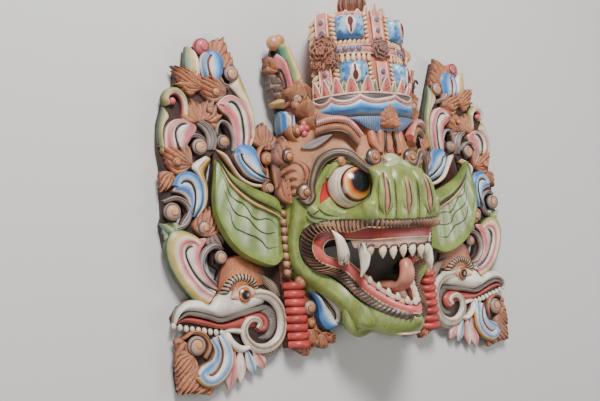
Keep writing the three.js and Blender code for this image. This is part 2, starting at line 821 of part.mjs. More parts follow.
// Fangs: a pair in each jaw. Each tapers from its root to a curved point.
const UPPER_FANG = [[54, -119, 98], [58, -138, 100], [64, -160, 98]];
const LOWER_FANG = [[66, -136, 68], [74, -118, 76], [80, -94, 78]];

function fang(points, clearance = 0) {
  return bar(points, [FANG_RADIUS + clearance, FANG_RADIUS * 0.8 + clearance, 1 + clearance], 4, 6);
}

function fangSockets() {
  return join([
    bothSides(fang(UPPER_FANG, GAP)),
    bothSides(fang(LOWER_FANG, GAP)),
    tongue(GAP * 1.5),
    block([-TONGUE_RADIUS, -190, 40], [TONGUE_RADIUS, -170, TONGUE[0][2]]),
  ]);
}

// Assembly

const mask = new THREE.Group();
const looks = {
  face: new THREE.MeshStandardMaterial({ color: 0x7f9a45, roughness: 0.5, metalness: 0 }),
  crown: new THREE.MeshStandardMaterial({ color: 0xd08a86, roughness: 0.6, metalness: 0 }),
  board: new THREE.MeshStandardMaterial({ color: 0xb98a68, roughness: 0.65, metalness: 0 }),
  ear: new THREE.MeshStandardMaterial({ color: 0x8dab63, roughness: 0.5, metalness: 0 }),
  tongue: new THREE.MeshStandardMaterial({ color: 0xc08070, roughness: 0.45, metalness: 0 }),
  fang: new THREE.MeshStandardMaterial({ color: 0xe9dcc0, roughness: 0.35, metalness: 0 }),
};

function put(name, solid, look) {
  const { vertProperties, triVerts } = solid.getMesh();
  const geometry = new THREE.BufferGeometry();
  geometry.setAttribute("position", new THREE.BufferAttribute(vertProperties, 3));
  geometry.setIndex(new THREE.BufferAttribute(triVerts, 1));
  const mesh = new THREE.Mesh(geometry, look);
  mesh.name = name;
  mask.add(mesh);
}

function putPair(name, solid, look) {
  put(`right_${name}`, solid, look);
  put(`left_${name}`, mirrored(solid), look);
}

put("head", head(), looks.face);
put("crown", crown(), looks.crown);
put("tongue", tongue(), looks.tongue);
putPair("wing", wing(), looks.board);
putPair("ear", ear(), looks.ear);
putPair("plume", plume(), looks.crown);
putPair("upper_fang", fang(UPPER_FANG), looks.fang);
putPair("lower_fang", fang(LOWER_FANG), looks.fang);

// The origin is the middle of the mask's footprint, on the plane that it lies on.
const extent = new THREE.Box3().setFromObject(mask);
mask.position.y = -(extent.min.y + extent.max.y) / 2;

export default mask;
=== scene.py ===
import math
import bpy
import bmesh
import numpy as np
from mathutils import Matrix, Vector


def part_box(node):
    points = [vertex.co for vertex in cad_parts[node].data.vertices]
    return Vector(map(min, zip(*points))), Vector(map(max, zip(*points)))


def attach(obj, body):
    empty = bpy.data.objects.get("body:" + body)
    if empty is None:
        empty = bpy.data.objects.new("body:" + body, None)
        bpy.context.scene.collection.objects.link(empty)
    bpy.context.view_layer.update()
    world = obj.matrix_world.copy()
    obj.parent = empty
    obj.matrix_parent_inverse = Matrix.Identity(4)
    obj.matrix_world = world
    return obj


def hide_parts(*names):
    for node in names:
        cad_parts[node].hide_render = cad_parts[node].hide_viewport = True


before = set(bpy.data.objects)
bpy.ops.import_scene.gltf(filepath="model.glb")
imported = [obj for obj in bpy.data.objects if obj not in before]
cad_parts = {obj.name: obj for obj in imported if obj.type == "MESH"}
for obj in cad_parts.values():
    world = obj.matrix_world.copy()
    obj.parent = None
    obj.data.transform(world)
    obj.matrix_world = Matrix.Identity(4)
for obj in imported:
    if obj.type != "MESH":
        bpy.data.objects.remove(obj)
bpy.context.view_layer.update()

# Stage and camera
# The mask lies on its back on a pale table. The camera stands over the beast's right cheek, at the
# photograph's viewing angle, with soft lights above the brow and to both sides.
MM = 0.001
crown_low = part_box("crown")[0]
CROWN_SEAT = 60.15
LIFT = crown_low[1] / MM - CROWN_SEAT  # from the carver's drawing to the frame, up the face


def placed(x, y, z):
    return Vector((x * MM, (y + LIFT) * MM, z * MM))


def flat_material(name, colour, roughness):
    material = bpy.data.materials.new(name)
    material.use_nodes = True
    shader = material.node_tree.nodes["Principled BSDF"]
    shader.inputs["Base Color"].default_value = (*colour, 1)
    shader.inputs["Roughness"].default_value = roughness
    return material


def make_floor():
    bpy.ops.mesh.primitive_plane_add(size=12, location=(0, 0, 0))
    floor = bpy.context.object
    floor.name = "floor"
    floor.data.materials.append(flat_material("pale_floor", (0.62, 0.61, 0.59), 0.8))


CAMERA_PLACE = (-767.9, -153.5, 977.5)
CAMERA_FORWARD = Vector((0.57116, 0.09174, -0.81570))
CAMERA_RIGHT = Vector((0.82059, -0.08831, 0.56466))
SENSOR_WIDTH = 36
LENS = 49.89


def make_camera():
    view = bpy.data.cameras.new("camera")
    camera = bpy.data.objects.new("camera", view)
    bpy.context.collection.objects.link(camera)
    up = CAMERA_RIGHT.cross(CAMERA_FORWARD)
    turn = Matrix((CAMERA_RIGHT, up, -CAMERA_FORWARD)).transposed().to_4x4()
    camera.matrix_world = Matrix.Translation(placed(*CAMERA_PLACE)) @ turn
    view.sensor_width = SENSOR_WIDTH
    view.lens = LENS
    bpy.context.scene.camera = camera


def soft_light(name, place, target, size, power):
    lamp = bpy.data.lights.new(name, "AREA")
    lamp.size = size
    lamp.energy = power
    light = bpy.data.objects.new(name, lamp)
    bpy.context.collection.objects.link(light)
    light.location = place
    light.rotation_euler = (Vector(target) - Vector(place)).to_track_quat("-Z", "Y").to_euler()


MASK_MIDDLE = (0, 0, 0.05)
make_floor()
make_camera()
soft_light("key", (-0.45, 1.25, 1.45), MASK_MIDDLE, 0.6, 58)
soft_light("fill", (-1.5, -0.7, 1.1), MASK_MIDDLE, 1.2, 10)
soft_light("side", (1.4, -0.2, 1.2), MASK_MIDDLE, 0.8, 12)
world = bpy.data.worlds.new("room")
world.use_nodes = True
world.node_tree.nodes["Background"].inputs["Color"].default_value = (1, 0.97, 0.93, 1)
world.node_tree.nodes["Background"].inputs["Strength"].default_value = 0.2
bpy.context.scene.world = world


# Side boards
# Two openwork boards of soft wood, carved with scrolling commas, volutes and leaves over a bird's head,
# and painted in shaded bands. Each is one plank, pegged to the side of the face block.

class Carving:
    """Collects closed shells for one carved piece: points, faces, uv across each band, and paints."""

    def __init__(self):
        self.points = []
        self.faces = []
        self.uvs = []
        self.paints = []
        self.names = []
        self.count = 0

    def paint(self, name):
        if name not in self.names:
            self.names.append(name)
        return self.names.index(name)

    def grid(self, rings, paint, along=None, across=None):
        """A closed skin over rings of points; along and across give each point's uv."""
        rings = np.asarray(rings, float)
        rows, columns = rings.shape[:2]
        start = self.count
        self.points.append(rings.reshape(-1, 3))
        self.count += rows * columns
        along = np.linspace(0, 1, rows) if along is None else np.asarray(along)
        across = np.linspace(0, 1, columns) if across is None else np.asarray(across)
        index = self.paint(paint)
        for i in range(rows - 1):
            for j in range(columns):
                k = (j + 1) % columns
                a = start + i * columns
                b = a + columns
                self.faces.append((a + j, a + k, b + k, b + j))
                right = across[k] if k else across[j]
                self.uvs.append(((along[i], across[j]), (along[i], right), (along[i + 1], right),
                    (along[i + 1], across[j])))
                self.paints.append(index)
        last = start + (rows - 1) * columns
        self.faces.append(tuple(range(start + columns - 1, start - 1, -1)))
        self.faces.append(tuple(range(last, last + columns)))
        self.uvs.append(tuple((along[0], v) for v in across[::-1]))
        self.uvs.append(tuple((along[-1], v) for v in across))
        self.paints += [index, index]

    def object(self, name, flip=False):
        points = np.concatenate(self.points) * [-1 if flip else 1, 1, 1]
        points = (points + [0, LIFT, 0]) * MM
        mesh = bpy.data.meshes.new(name)
        mesh.from_pydata(points.tolist(), [], self.faces)
        layer = mesh.uv_layers.new(name="band")
        flat = [c for face in self.uvs for uv in face for c in uv]
        layer.data.foreach_set("uv", flat)
        mesh.polygons.foreach_set("material_index", self.paints)
        for paint in self.names:
            mesh.materials.append(paint_of(paint))
        made = joined(name, mesh, 0.00002)
        mesh.shade_smooth()
        mesh.set_sharp_from_angle(angle=SHARP)
        return made


SHARP = math.radians(50)


def joined(name, mesh, distance):
    """A mesh as an object, its doubled points merged and its faces all turned outward."""
    work = bmesh.new()
    work.from_mesh(mesh)
    bmesh.ops.remove_doubles(work, verts=work.verts, dist=distance)
    bmesh.ops.recalc_face_normals(work, faces=work.faces)
    work.to_mesh(mesh)
    work.free()
    made = bpy.data.objects.new(name, mesh)
    bpy.context.collection.objects.link(made)
    return made


def middle_out(carving, start, places):
    """Turn the uv of the faces since start: across runs from a ball's middle to its edge."""
    even = np.linspace(0, 1, len(places))
    for k in range(start, len(carving.uvs)):
        carving.uvs[k] = tuple((uv[1], np.interp(uv[0], even, places)) for uv in carving.uvs[k])


def smooth_path(points, count):
    """Evenly spaced points on a smooth curve through the given ones."""
    points = np.asarray(points, float)
    if len(points) == 2:
        t = np.linspace(0, 1, count)[:, None]
        return points[0] * (1 - t) + points[1] * t
    ends = np.vstack([2 * points[0] - points[1], points, 2 * points[-1] - points[-2]])
    fine = []
    for i in range(1, len(ends) - 2):
        a, b, c, d = ends[i - 1], ends[i], ends[i + 1], ends[i + 2]
        t = np.linspace(0, 1, 16, endpoint=False)[:, None]
        fine.append(0.5 * (2 * b + (c - a) * t + (2 * a - 5 * b + 4 * c - d) * t ** 2
            + (3 * b - a - 3 * c + d) * t ** 3))
    fine = np.vstack([*fine, points[-1:]])
    gaps = np.linalg.norm(np.diff(fine, axis=0), axis=1)
    walked = np.concatenate([[0], np.cumsum(gaps)])
    even = np.linspace(0, walked[-1], count)
    return np.stack([np.interp(even, walked, fine[:, k]) for k in range(points.shape[1])], axis=1)


BOARD = 12.0
RELIEF_TOP = 25.0


def ribbon(carving, outer, inner, paint, top=RELIEF_TOP, base=BOARD - 3, grooves=(), dome=0.5, steps=36,
        across=13, taper=(0.25, 0.1)):
    """A band between two edges, domed across, with grooves at shares of its width; taper gives the
    shares of its length over which it sinks at each end."""
    left = smooth_path(outer, steps)
    right = smooth_path(inner, steps)
    v = np.linspace(0, 1, across)
    rise = (1 - dome) + dome * np.sin(np.pi * np.clip(v, 0, 1)) ** 0.7
    for place in grooves:
        rise = rise - 0.3 * np.exp(-((v - place) / 0.06) ** 2)
    share = np.linspace(0, 1, steps)
    start, end = taper
    ease = np.ones(steps)
    if start:
        ease *= 1 - 0.45 * np.clip(1 - share / start, 0, 1) ** 2
    if end:
        ease *= 1 - 0.45 * np.clip(1 - (1 - share) / end, 0, 1) ** 2
    rings = np.empty((steps, across + 2, 3))
    fade = v[None, :, None]
    rings[:, 1:-1, :2] = left[:, None, :2] * (1 - fade) + right[:, None, :2] * fade
    rings[:, 1:-1, 2] = base + (top - base) * rise[None, :] * ease[:, None]
    rings[:, 0, :2] = left[:, :2]
    rings[:, -1, :2] = right[:, :2]
    rings[:, [0, -1], 2] = base
    carving.grid(rings, paint, across=np.concatenate([[0], v, [1]]))


def incision(carving, points, width=0.9, top=RELIEF_TOP, paint="groove_black"):
    """A dark cut line, drawn as a thin sunk bead along a path."""
    path = np.column_stack([smooth_path(points, 30), np.full(30, float(top))])
    cord(carving, path, width, paint, sides=6, steps=30)


def cord(carving, points, radius, paint, sides=10, steps=40, level=(0.05, 0.1, 1), flatten=1.0):
    """A round bar along a path in space; radius may be a list of stops."""
    path = smooth_path(points, steps)
    stops = np.atleast_1d(np.asarray(radius, float))
    share = np.linspace(0, 1, steps)
    radii = np.interp(share, np.linspace(0, 1, len(stops)), stops)
    forward = np.gradient(path, axis=0)
    forward /= np.linalg.norm(forward, axis=1)[:, None]
    side = np.cross(forward, np.asarray(level, float))
    side /= np.linalg.norm(side, axis=1)[:, None]
    up = np.cross(side, forward)
    angles = 2 * np.pi * np.arange(sides) / sides
    rings = (path[:, None, :] + radii[:, None, None] * (
        np.cos(angles)[None, :, None] * side[:, None, :]
        + flatten * np.sin(angles)[None, :, None] * up[:, None, :]))
    carving.grid(rings, paint, across=0.5 + 0.5 * np.sin(angles))


def knob(carving, x, y, z, radius, paint, squash=1.0, rows=9, sides=18, direction=(0, 0, 1)):
    """A turned ball or dome; uv across runs from its middle to its edge."""
    axis = np.asarray(direction, float)
    axis /= np.linalg.norm(axis)
    side = np.cross(axis, [0.3, 1, 0.1])
    side /= np.linalg.norm(side)
    up = np.cross(axis, side)
    polar = np.linspace(0.03, np.pi - 0.03, rows)
    angles = 2 * np.pi * np.arange(sides) / sides
    rings = np.empty((rows, sides, 3))
    for i, p in enumerate(polar):
        spread = np.cos(angles)[:, None] * side + np.sin(angles)[:, None] * up
        rings[i] = np.array([x, y, z]) + radius * (np.sin(p) * spread + squash * np.cos(p) * axis)
    start = len(carving.uvs)
    carving.grid(rings, paint)
    middle_out(carving, start, polar / np.pi * 2)
    if paint in ("volute_ball", "wood_ball", "rose_paint") and radius > 5.5:
        spiral = []
        for t in np.linspace(0, 1, 30):
            p, a = math.radians(78 - 66 * t), 9.5 * t + x
            spread = math.sin(p) * (math.cos(a) * side + math.sin(a) * up)
            spiral.append(np.array([x, y, z]) + radius * (spread + squash * math.cos(p) * axis))
        cord(carving, spiral, [0.6, 0.085 * radius, 0.075 * radius, 0.3], "knob_line", sides=6, steps=44)


def patra(carving, base, tip, half, paint="carved_wood", top=RELIEF_TOP - 3, bottom=BOARD - 3, fingers=5,
        bend=0.0):
    """A carved leaf: fingers that fan out of its foot, the middle one the longest."""
    foot = np.array(base, float)
    run = np.array(tip, float) - foot
    length = np.linalg.norm(run)
    run /= length
    side = np.array([-run[1], run[0]])
    share = np.linspace(0, 1, 28)
    spine = foot + run * length * 0.93 * share[:, None] + side * bend * length * share[:, None] ** 2
    teeth = 1 + 0.07 * np.abs(np.sin(share * math.pi * (fingers + 1)))
    wide = half * teeth * (0.35 + 0.8 * np.sin(np.pi * share ** 0.75)) * np.clip((1 - share) * 3.5, 0.04, 1)
    ribbon(carving, spine + side * wide[:, None], spine - side * wide[:, None], paint, top=top - 3.2,
        base=bottom, dome=0.5, steps=28, across=13, taper=(0, 0.1), grooves=(0.25, 0.75))
    for i in range(fingers):
        t = 0 if fingers == 1 else 2 * i / (fingers - 1) - 1
        reach = length * (1 - 0.42 * abs(t) ** 1.4)
        out = half * t
        root = foot + run * length * 0.02 + side * out * 0.15
        knee = foot + run * reach * 0.45 + side * out * 1.0625
        end = foot + run * reach + side * (out * 0.95 + bend * length)
        width = half / fingers * 1.25 + 1.2
        spine = smooth_path([root, knee, end], 12)
        ahead = np.gradient(spine, axis=0)
        ahead /= np.linalg.norm(ahead, axis=1)[:, None]
        across = np.column_stack([-ahead[:, 1], ahead[:, 0]])
        share = np.linspace(0, 1, 12)
        widths = width * (0.45 + 0.75 * np.sin(np.pi * share ** 0.8)) * np.clip((1 - share) * 4, 0.12, 1)
        crest = top - 2.5 * abs(t)
        ribbon(carving, spine + across * widths[:, None], spine - across * widths[:, None], paint,
               top=crest, base=bottom, dome=0.75, steps=12, across=7, taper=(0, 0.35))


def leaves(carving, *rows):
    """Leaves one after another: foot, tip, half width, fingers and top of each."""
    for foot, tip, half, fingers, top in rows:
        patra(carving, foot, tip, half, fingers=fingers, top=top)


def volute(carving, x, y, radius, outer=None, inner=None, ball="volute_ball", rim="grey_band",
        top=RELIEF_TOP):
    """A scroll: a ball held in a curling band."""
    knob(carving, x, y, top - radius * 0.62, radius, ball, squash=0.62)
    if outer:
        ribbon(carving, outer, inner, rim, top=top - 2, grooves=(0.5,), steps=24, across=11)


def comma(carving, outer, groove, edge, paints, line="groove_black"):
    """A painted comma: a banded crozier, its cut line, and the lobe inside the hook."""
    ribbon(carving, outer, groove, paints[0], dome=0.35, across=17, steps=44, taper=(0.3, 0))
    ribbon(carving, groove, edge, paints[1], top=RELIEF_TOP - 1, dome=0.35, steps=44, taper=(0.3, 0))
    incision(carving, groove, width=1.15, top=RELIEF_TOP - 0.4 - 2.2, paint=line)


def board_layout(carving):
    # Upper inner comma, pink, with its outer strip
    ribbon(carving, [(168, 28), (161, 48), (160, 72), (164, 92), (171, 112), (179, 138)],
           [(176, 24), (169, 44), (168, 66), (173, 86), (184, 102), (196, 116)], "strip_olive", top=22)
    comma(carving,
          [(177, 20), (170, 40), (168, 60), (171, 80), (180, 94), (194, 101), (208, 98), (219, 88)],
          [(186, 20), (182, 42), (182, 60), (184, 75), (190, 87), (197, 91), (203, 88), (203, 83)],
          [(197, 22), (197, 40), (198, 58), (203, 70), (211, 76), (217, 82), (220, 88), (214, 90)],
          ("comma_pink", "lobe_pink"))
    # Inner blue comma and its pale strip
    comma(carving,
          [(146, -13), (157, -2), (160, 12), (164, 26), (174, 34), (185, 35), (195, 28), (198, 18)],
          [(148, -15), (164, -9), (176, 0), (185, 9), (188, 17), (186, 23), (182, 24), (178, 21)],
          [(150, -20), (168, -16), (184, -8), (194, 5), (198, 14), (198, 20), (190, 24), (182, 23)],
          ("comma_blue", "lobe_blue"))
    ribbon(carving, [(148, -21), (169, -20), (187, -11), (198, 3), (204, 14), (210, 22)],
           [(148, -28), (172, -27), (194, -16), (207, 2), (215, 14), (224, 27)], "strip_cream", top=20)
    # Upper outer pink comma, its strip and the hook above
    comma(carving,
          [(298, 22), (300, 40), (296, 54), (286, 63), (272, 65), (259, 60)],
          [(279, 22), (284, 36), (284, 48), (278, 56), (271, 58), (266, 54)],
          [(270, 24), (265, 34), (257, 44), (252, 52), (254, 58), (262, 60)],
          ("comma_pink", "lobe_pink"))
    ribbon(carving, [(304, 20), (306, 44), (303, 62), (296, 82)],
           [(298, 20), (301, 42), (297, 56), (288, 68)], "strip_olive", top=21)
    ribbon(carving, [(262, 60), (261, 82), (264, 98), (276, 108), (291, 104), (298, 92), (294, 82)],
           [(273, 62), (271, 80), (273, 91), (279, 97), (286, 95), (288, 90), (284, 86)], "hook_yellow",
           top=23, grooves=(0.55,))
    knob(carving, 284, 89, 17, 5, "rose_paint")
    # Fan at the top: a blue leaf, a pale leaf and a pink bud
    comma(carving,
          [(212, 114), (205, 134), (203, 150), (212, 160), (224, 161), (233, 156)],
          [(224, 120), (228, 134), (228, 145), (224, 151), (219, 153), (215, 151)],
          [(236, 120), (241, 136), (239, 150), (233, 158), (226, 158), (220, 156)],
          ("comma_blue", "lobe_blue"), line="groove_red")
    ribbon(carving, [(239, 120), (238, 140), (243, 156), (257, 165)],
           [(260, 124), (261, 140), (260, 154), (257, 165)], "leaf_pale", top=23, grooves=(0.4,))
    knob(carving, 234, 166, 15, 12, "rose_paint", squash=0.8)
    leaves(carving, ((214, 152), (197, 184), 13, 5, 22), ((204, 138), (189, 163), 12, 5, 22))
    volute(carving, 193, 131, 11, [(198, 146), (212, 143), (219, 128), (211, 112), (195, 108)],
           [(199, 140), (207, 136), (210, 127), (205, 119), (196, 116)])
    leaves(carving, ((204, 103), (252, 122), 16, 7, 24), ((240, 108), (281, 137), 13, 7, 23),
        ((246, 112), (279, 112), 9, 3, 22))
    volute(carving, 220, 104, 7, ball="wood_ball", top=25)
    # Brown leaves in the middle
    leaves(carving, ((238, 64), (222, 96), 13, 5, 24), ((250, 62), (256, 94), 15, 5, 24),
        ((232, 62), (210, 74), 8, 3, 23))
    volute(carving, 232, 78, 5, ball="wood_ball", top=26)
    # Grey stem, the teardrop opening's rim and its ball
    ribbon(carving, [(222, 26), (221, 44), (230, 60), (246, 68)],
        [(238, 26), (238, 42), (243, 52), (254, 60)], "grey_band", top=22, grooves=(0.33, 0.66))
    ribbon(carving, [(194, 24), (193, 46), (201, 63), (213, 67), (223, 58), (224, 44)],
           [(199, 25), (199, 44), (205, 58), (213, 62), (218, 55), (219, 44)], "grey_band", top=21)
    knob(carving, 213, 37, 15, 9.5, "volute_ball")
    volute(carving, 250, 29, 11,
           [(236, 32), (242, 43), (257, 47), (271, 39), (276, 22), (266, 5)],
           [(241, 31), (247, 38), (257, 41), (266, 34), (269, 22), (261, 10)])
    # Outer brown leaves
    patra(carving, (264, 4), (308, 28), 17, fingers=7, top=24, bend=0.05)
    volute(carving, 286, 8, 7, ball="wood_ball", top=26)
    patra(carving, (292, -6), (308, -30), 9, fingers=5, top=22)
    # Middle outer blue comma and the feathered band inside it
    comma(carving,
          [(262, -64), (251, -46), (250, -26), (257, -10), (270, -4), (284, -8), (294, -22)],
          [(269, -62), (264, -46), (263, -31), (267, -20), (275, -17), (281, -20), (282, -26)],
          [(286, -76), (274, -58), (272, -46), (277, -37), (285, -32), (294, -30), (290, -24)],
          ("comma_blue", "lobe_blue"))
    ribbon(carving, [(252, -60), (244, -46), (241, -25), (244, -8), (238, 4), (231, 13)],
           [(262, -66), (251, -48), (249, -26), (256, -8), (262, 4), (241, 18)], "strip_ochre", top=21,
           grooves=(0.5,))
    volute(carving, 296, -56, 12, [(306, -40), (289, -35), (272, -43), (267, -58), (275, -75), (291, -83)],
           [(303, -45), (289, -42), (278, -48), (274, -59), (280, -70), (291, -75)])
    patra(carving, (252, -90), (240, -50), 15, fingers=7, top=23)
    volute(carving, 253, -78, 9, ball="volute_ball", top=25)
    patra(carving, (240, -84), (226, -108), 12, fingers=5, paint="carved_grey", top=21)
    volute(carving, 232, -118, 9,
        [(222, -106), (239, -99), (257, -107), (264, -125), (259, -143), (241, -160)],
        [(226, -110), (239, -107), (250, -114), (255, -127), (250, -140), (237, -152)])
    # Lower pink comma with its banded rim
    outer = [(256, -180), (276, -169), (293, -149), (306, -123), (309, -100), (300, -82), (286, -80),
        (270, -86), (258, -94)]
    groove = [(240, -162), (257, -154), (270, -141), (279, -125), (283, -112), (281, -105), (276, -102),
        (271, -103), (269, -106)]
    edge = [(238, -157), (248, -149), (259, -134), (263, -118), (259, -106), (252, -98), (250, -92),
        (258, -92), (268, -94)]
    comma(carving, outer, groove, edge, ("comma_banded", "lobe_pink"))
    patra(carving, (290, -86), (312, -70), 9, fingers=3, paint="leaf_green", top=20)
    # Inner edge: a volute under the leaf, and two small scrolls
    leaves(carving, ((150, 30), (146, 66), 17, 7, 23), ((142, 26), (140, 46), 6, 3, 22))
    volute(carving, 147, 14, 10, [(140, 38), (154, 34), (165, 18), (163, 2), (148, -12)],
           [(140, 31), (151, 27), (157, 16), (155, 5), (146, -3)], ball="wood_ball", rim="brown_band")
    volute(carving, 148, -28, 8, [(140, -18), (150, -16), (159, -26), (156, -40)],
           [(140, -22), (149, -21), (154, -28), (152, -38)], rim="brown_band")
    ribbon(carving, [(140, 58), (142, 20), (140, -40)], [(141, 58), (147, 20), (150, -42)], "brown_band",
        top=16)


def bird_head(carving):
    # Crest, the comb over the eye and the nape's dark hatching
    ribbon(carving, [(160, -158), (168, -136), (186, -122), (200, -116)],
        [(238, -166), (234, -148), (226, -126), (212, -116)], "crest_orange", top=22, steps=24, across=25)
    ribbon(carving, [(139, -176), (148, -158), (166, -144), (190, -132)],
           [(150, -178), (160, -164), (172, -152), (190, -140)], "hatched", top=20, steps=60)
    ribbon(carving, [(174, -168), (182, -149), (203, -139), (224, -147), (238, -168)],
        [(184, -166), (191, -158), (203, -154), (215, -157), (226, -168)], "lash_black", top=25, steps=60)
    # Skull and beak
    ridge = [(168, -164), (205, -160), (240, -166), (252, -178), (268, -170), (286, -171), (300, -182),
        (305, -200)]
    gape = [(168, -184), (204, -192), (232, -197), (252, -192), (270, -186), (286, -184), (297, -189),
        (303, -201)]
    ribbon(carving, ridge, gape, "bone_white", top=24, dome=0.6, steps=50)
    ribbon(carving,
        [(164, -186), (204, -190), (234, -197), (252, -191), (270, -186), (287, -184), (304, -194)],
        [(164, -192), (204, -198), (236, -203), (256, -197), (272, -192), (287, -190), (305, -199)],
        "lip_grey", top=22, steps=50)
    ribbon(carving,
        [(178, -196), (204, -199), (236, -204), (256, -198), (273, -193), (289, -191), (305, -197)],
        [(180, -214), (206, -214), (232, -212), (256, -206), (275, -200), (291, -197), (305, -201)],
        "beak_red", top=18, steps=40)
    for i in range(10):
        t = i / 9
        x = 304 - 76 * t
        y = -198 - 18 * t ** 0.8
        knob(carving, x, y - 2, 15, 3.6 - 0.6 * abs(t - 0.5), "tooth_white", squash=1.3, rows=7, sides=8,
             direction=(0, -1, 0.2))
    knob(carving, 247, -184, 20, 2.2, "groove_black", squash=1.6, rows=6, sides=8, direction=(-0.4, 1, 0))
    # Cheek scroll
    spiral = [(220, -186), (192, -172), (164, -174), (147, -190), (143, -212), (150, -232), (168, -243),
        (188, -241), (202, -228), (203, -213), (194, -204), (183, -204), (178, -210), (182, -216)]
    cord(carving, [(x, y, 17) for x, y in spiral],
         [3, 6.5, 7, 7, 7, 7, 7, 7, 6.5, 6, 5, 4, 3], "bone_white", sides=12, steps=90)
    ribbon(carving, [(170, -184), (152, -192), (150, -214), (160, -230), (176, -234)],
        [(186, -192), (168, -200), (162, -212), (168, -224), (180, -228)], "hatched_grey", top=16, steps=60)
    ribbon(carving, [(200, -196), (176, -196), (164, -206), (168, -220), (182, -222)],
           [(204, -206), (184, -204), (176, -208), (176, -214), (184, -216)], "beak_red", top=19, steps=30)
    # Lower jaw, chin comb and throat feathers
    ribbon(carving, [(204, -214), (222, -212), (236, -214)], [(206, -222), (222, -218), (231, -216)],
           "bone_white", top=20, steps=20)
    ribbon(carving, [(236, -214), (230, -232), (213, -245), (194, -242)],
           [(226, -214), (220, -226), (209, -235), (197, -236)], "bone_white", top=22)
    ribbon(carving, [(139, -228), (152, -250), (172, -256), (192, -247)],
           [(145, -230), (156, -242), (172, -248), (188, -243)], "hatched", top=18, steps=60)
    for foot, tip, half, paint in (((190, -244), (174, -270), 9, "petal_pink"),
            ((201, -244), (191, -276), 8, "petal_blue"), ((211, -242), (213, -284), 9, "petal_pale"),
            ((221, -242), (230, -290), 10, "petal_pink")):
        petal_leaf(carving, foot, tip, half, paint)
    # Lower scroll: blue comma, grey ball and brown leaves
    comma(carving,
          [(232, -218), (224, -240), (225, -258), (236, -274), (254, -283), (270, -281), (282, -270)],
          [(246, -220), (241, -238), (243, -252), (250, -262), (258, -267), (264, -264), (262, -259)],
          [(254, -224), (251, -238), (256, -248), (266, -252), (274, -256), (278, -264), (270, -270)],
          ("comma_blue_ochre", "lobe_blue"), line="groove_red")
    volute(carving, 276, -228, 13, [(260, -248), (254, -230), (262, -213), (280, -208), (296, -216)],
           [(266, -243), (261, -230), (267, -219), (280, -214), (292, -220)], rim="brown_band")
    leaves(carving, ((282, -240), (305, -262), 15, 7, 21), ((276, -258), (304, -286), 17, 7, 20),
        ((290, -222), (303, -236), 8, 3, 19), ((254, -278), (280, -289), 7, 3, 18))
    # The eye
    ribbon(carving, [(180, -166), (192, -158), (204, -156), (216, -161), (226, -172)],
           [(180, -168), (192, -180), (204, -184), (216, -180), (226, -174)], "lid_pink", top=26, steps=26)
    knob(carving, 203, -170, 20, 12.5, "bird_eye", squash=0.75, rows=17, sides=28)


def petal_leaf(carving, foot, tip, half, paint):
    """A plain painted feather of the bird's throat."""
    run = np.array(tip, float) - np.array(foot, float)
    side = np.array([-run[1], run[0]]) / np.linalg.norm(run)
    middle = np.array(foot) + run * 0.6
    ribbon(carving, [np.array(foot) + side * 3, middle + side * half, np.array(tip) + side * 2],
           [np.array(foot) - side * 3, middle - side * half, np.array(tip) - side * 2], paint,
           top=18, grooves=(0.5,), steps=18, across=15, taper=(0, 0.4))


BOARD_OUTLINE = [
    (138.2, -238), (138.2, 60), (146, 64), (160, 46), (164, 88), (174, 112), (181, 132), (192, 160),
    (199, 178), (212, 166), (226, 164), (240, 170), (250, 162), (257, 160), (260, 138), (274, 130),
    (277, 108), (290, 98), (296, 80), (303, 60), (306, 28), (303, 0), (305, -30), (306, -62), (310, -72),
    (306, -102), (300, -128), (286, -152), (270, -172), (292, -176), (303, -190), (300, -200), (268, -206),
    (284, -212), (300, -236), (303, -262), (301, -284), (268, -284), (240, -276), (226, -262), (206, -252),
    (190, -252), (176, -252), (156, -248),
]
BOARD_OPENINGS = [
    [(198, 26), (200, 46), (207, 60), (217, 58), (220, 48), (210, 46), (205, 38), (206, 28)],
    [(200, 139), (208, 134), (210, 126), (204, 118), (197, 116), (203, 126)],
    [(256, 38), (266, 34), (270, 22), (263, 10), (255, 14), (262, 24)],
    [(224, 24), (231, 18), (234, 6), (239, -8), (241, -44), (235, -44), (233, -18), (228, 2)],
    [(291, -43), (280, -47), (274, -59), (280, -70), (290, -73), (283, -58)],
    [(240, -109), (250, -115), (254, -127), (249, -140), (236, -150), (230, -134), (242, -126)],
    [(204, -208), (210, -216), (209, -228), (200, -235), (206, -222)],
    [(274, -212), (264, -216), (256, -230), (264, -242), (264, -228)],
]


def pierced_board(name, outline, openings, bottom, top, flip):
    """The plank's ground: an outline with openings, cut square through."""
    sheet = bpy.data.curves.new(name, "CURVE")
    sheet.dimensions = "2D"
    sheet.fill_mode = "BOTH"
    sheet.extrude = (top - bottom) / 2 * MM
    for loop in [outline, *openings]:
        spline = sheet.splines.new("POLY")
        spline.points.add(len(loop) - 1)
        for point, (x, y) in zip(spline.points, loop):
            place = placed(-x if flip else x, y, 0)
            point.co = (place.x, place.y, 0, 1)
        spline.use_cyclic_u = True
    holder = bpy.data.objects.new(name, sheet)
    bpy.context.collection.objects.link(holder)
    holder.location.z = (top + bottom) / 2 * MM
    bpy.context.view_layer.update()
    mesh = bpy.data.meshes.new_from_object(holder)
    mesh.transform(holder.matrix_world)
    bpy.data.objects.remove(holder)
    return joined(name, mesh, 0.00001)


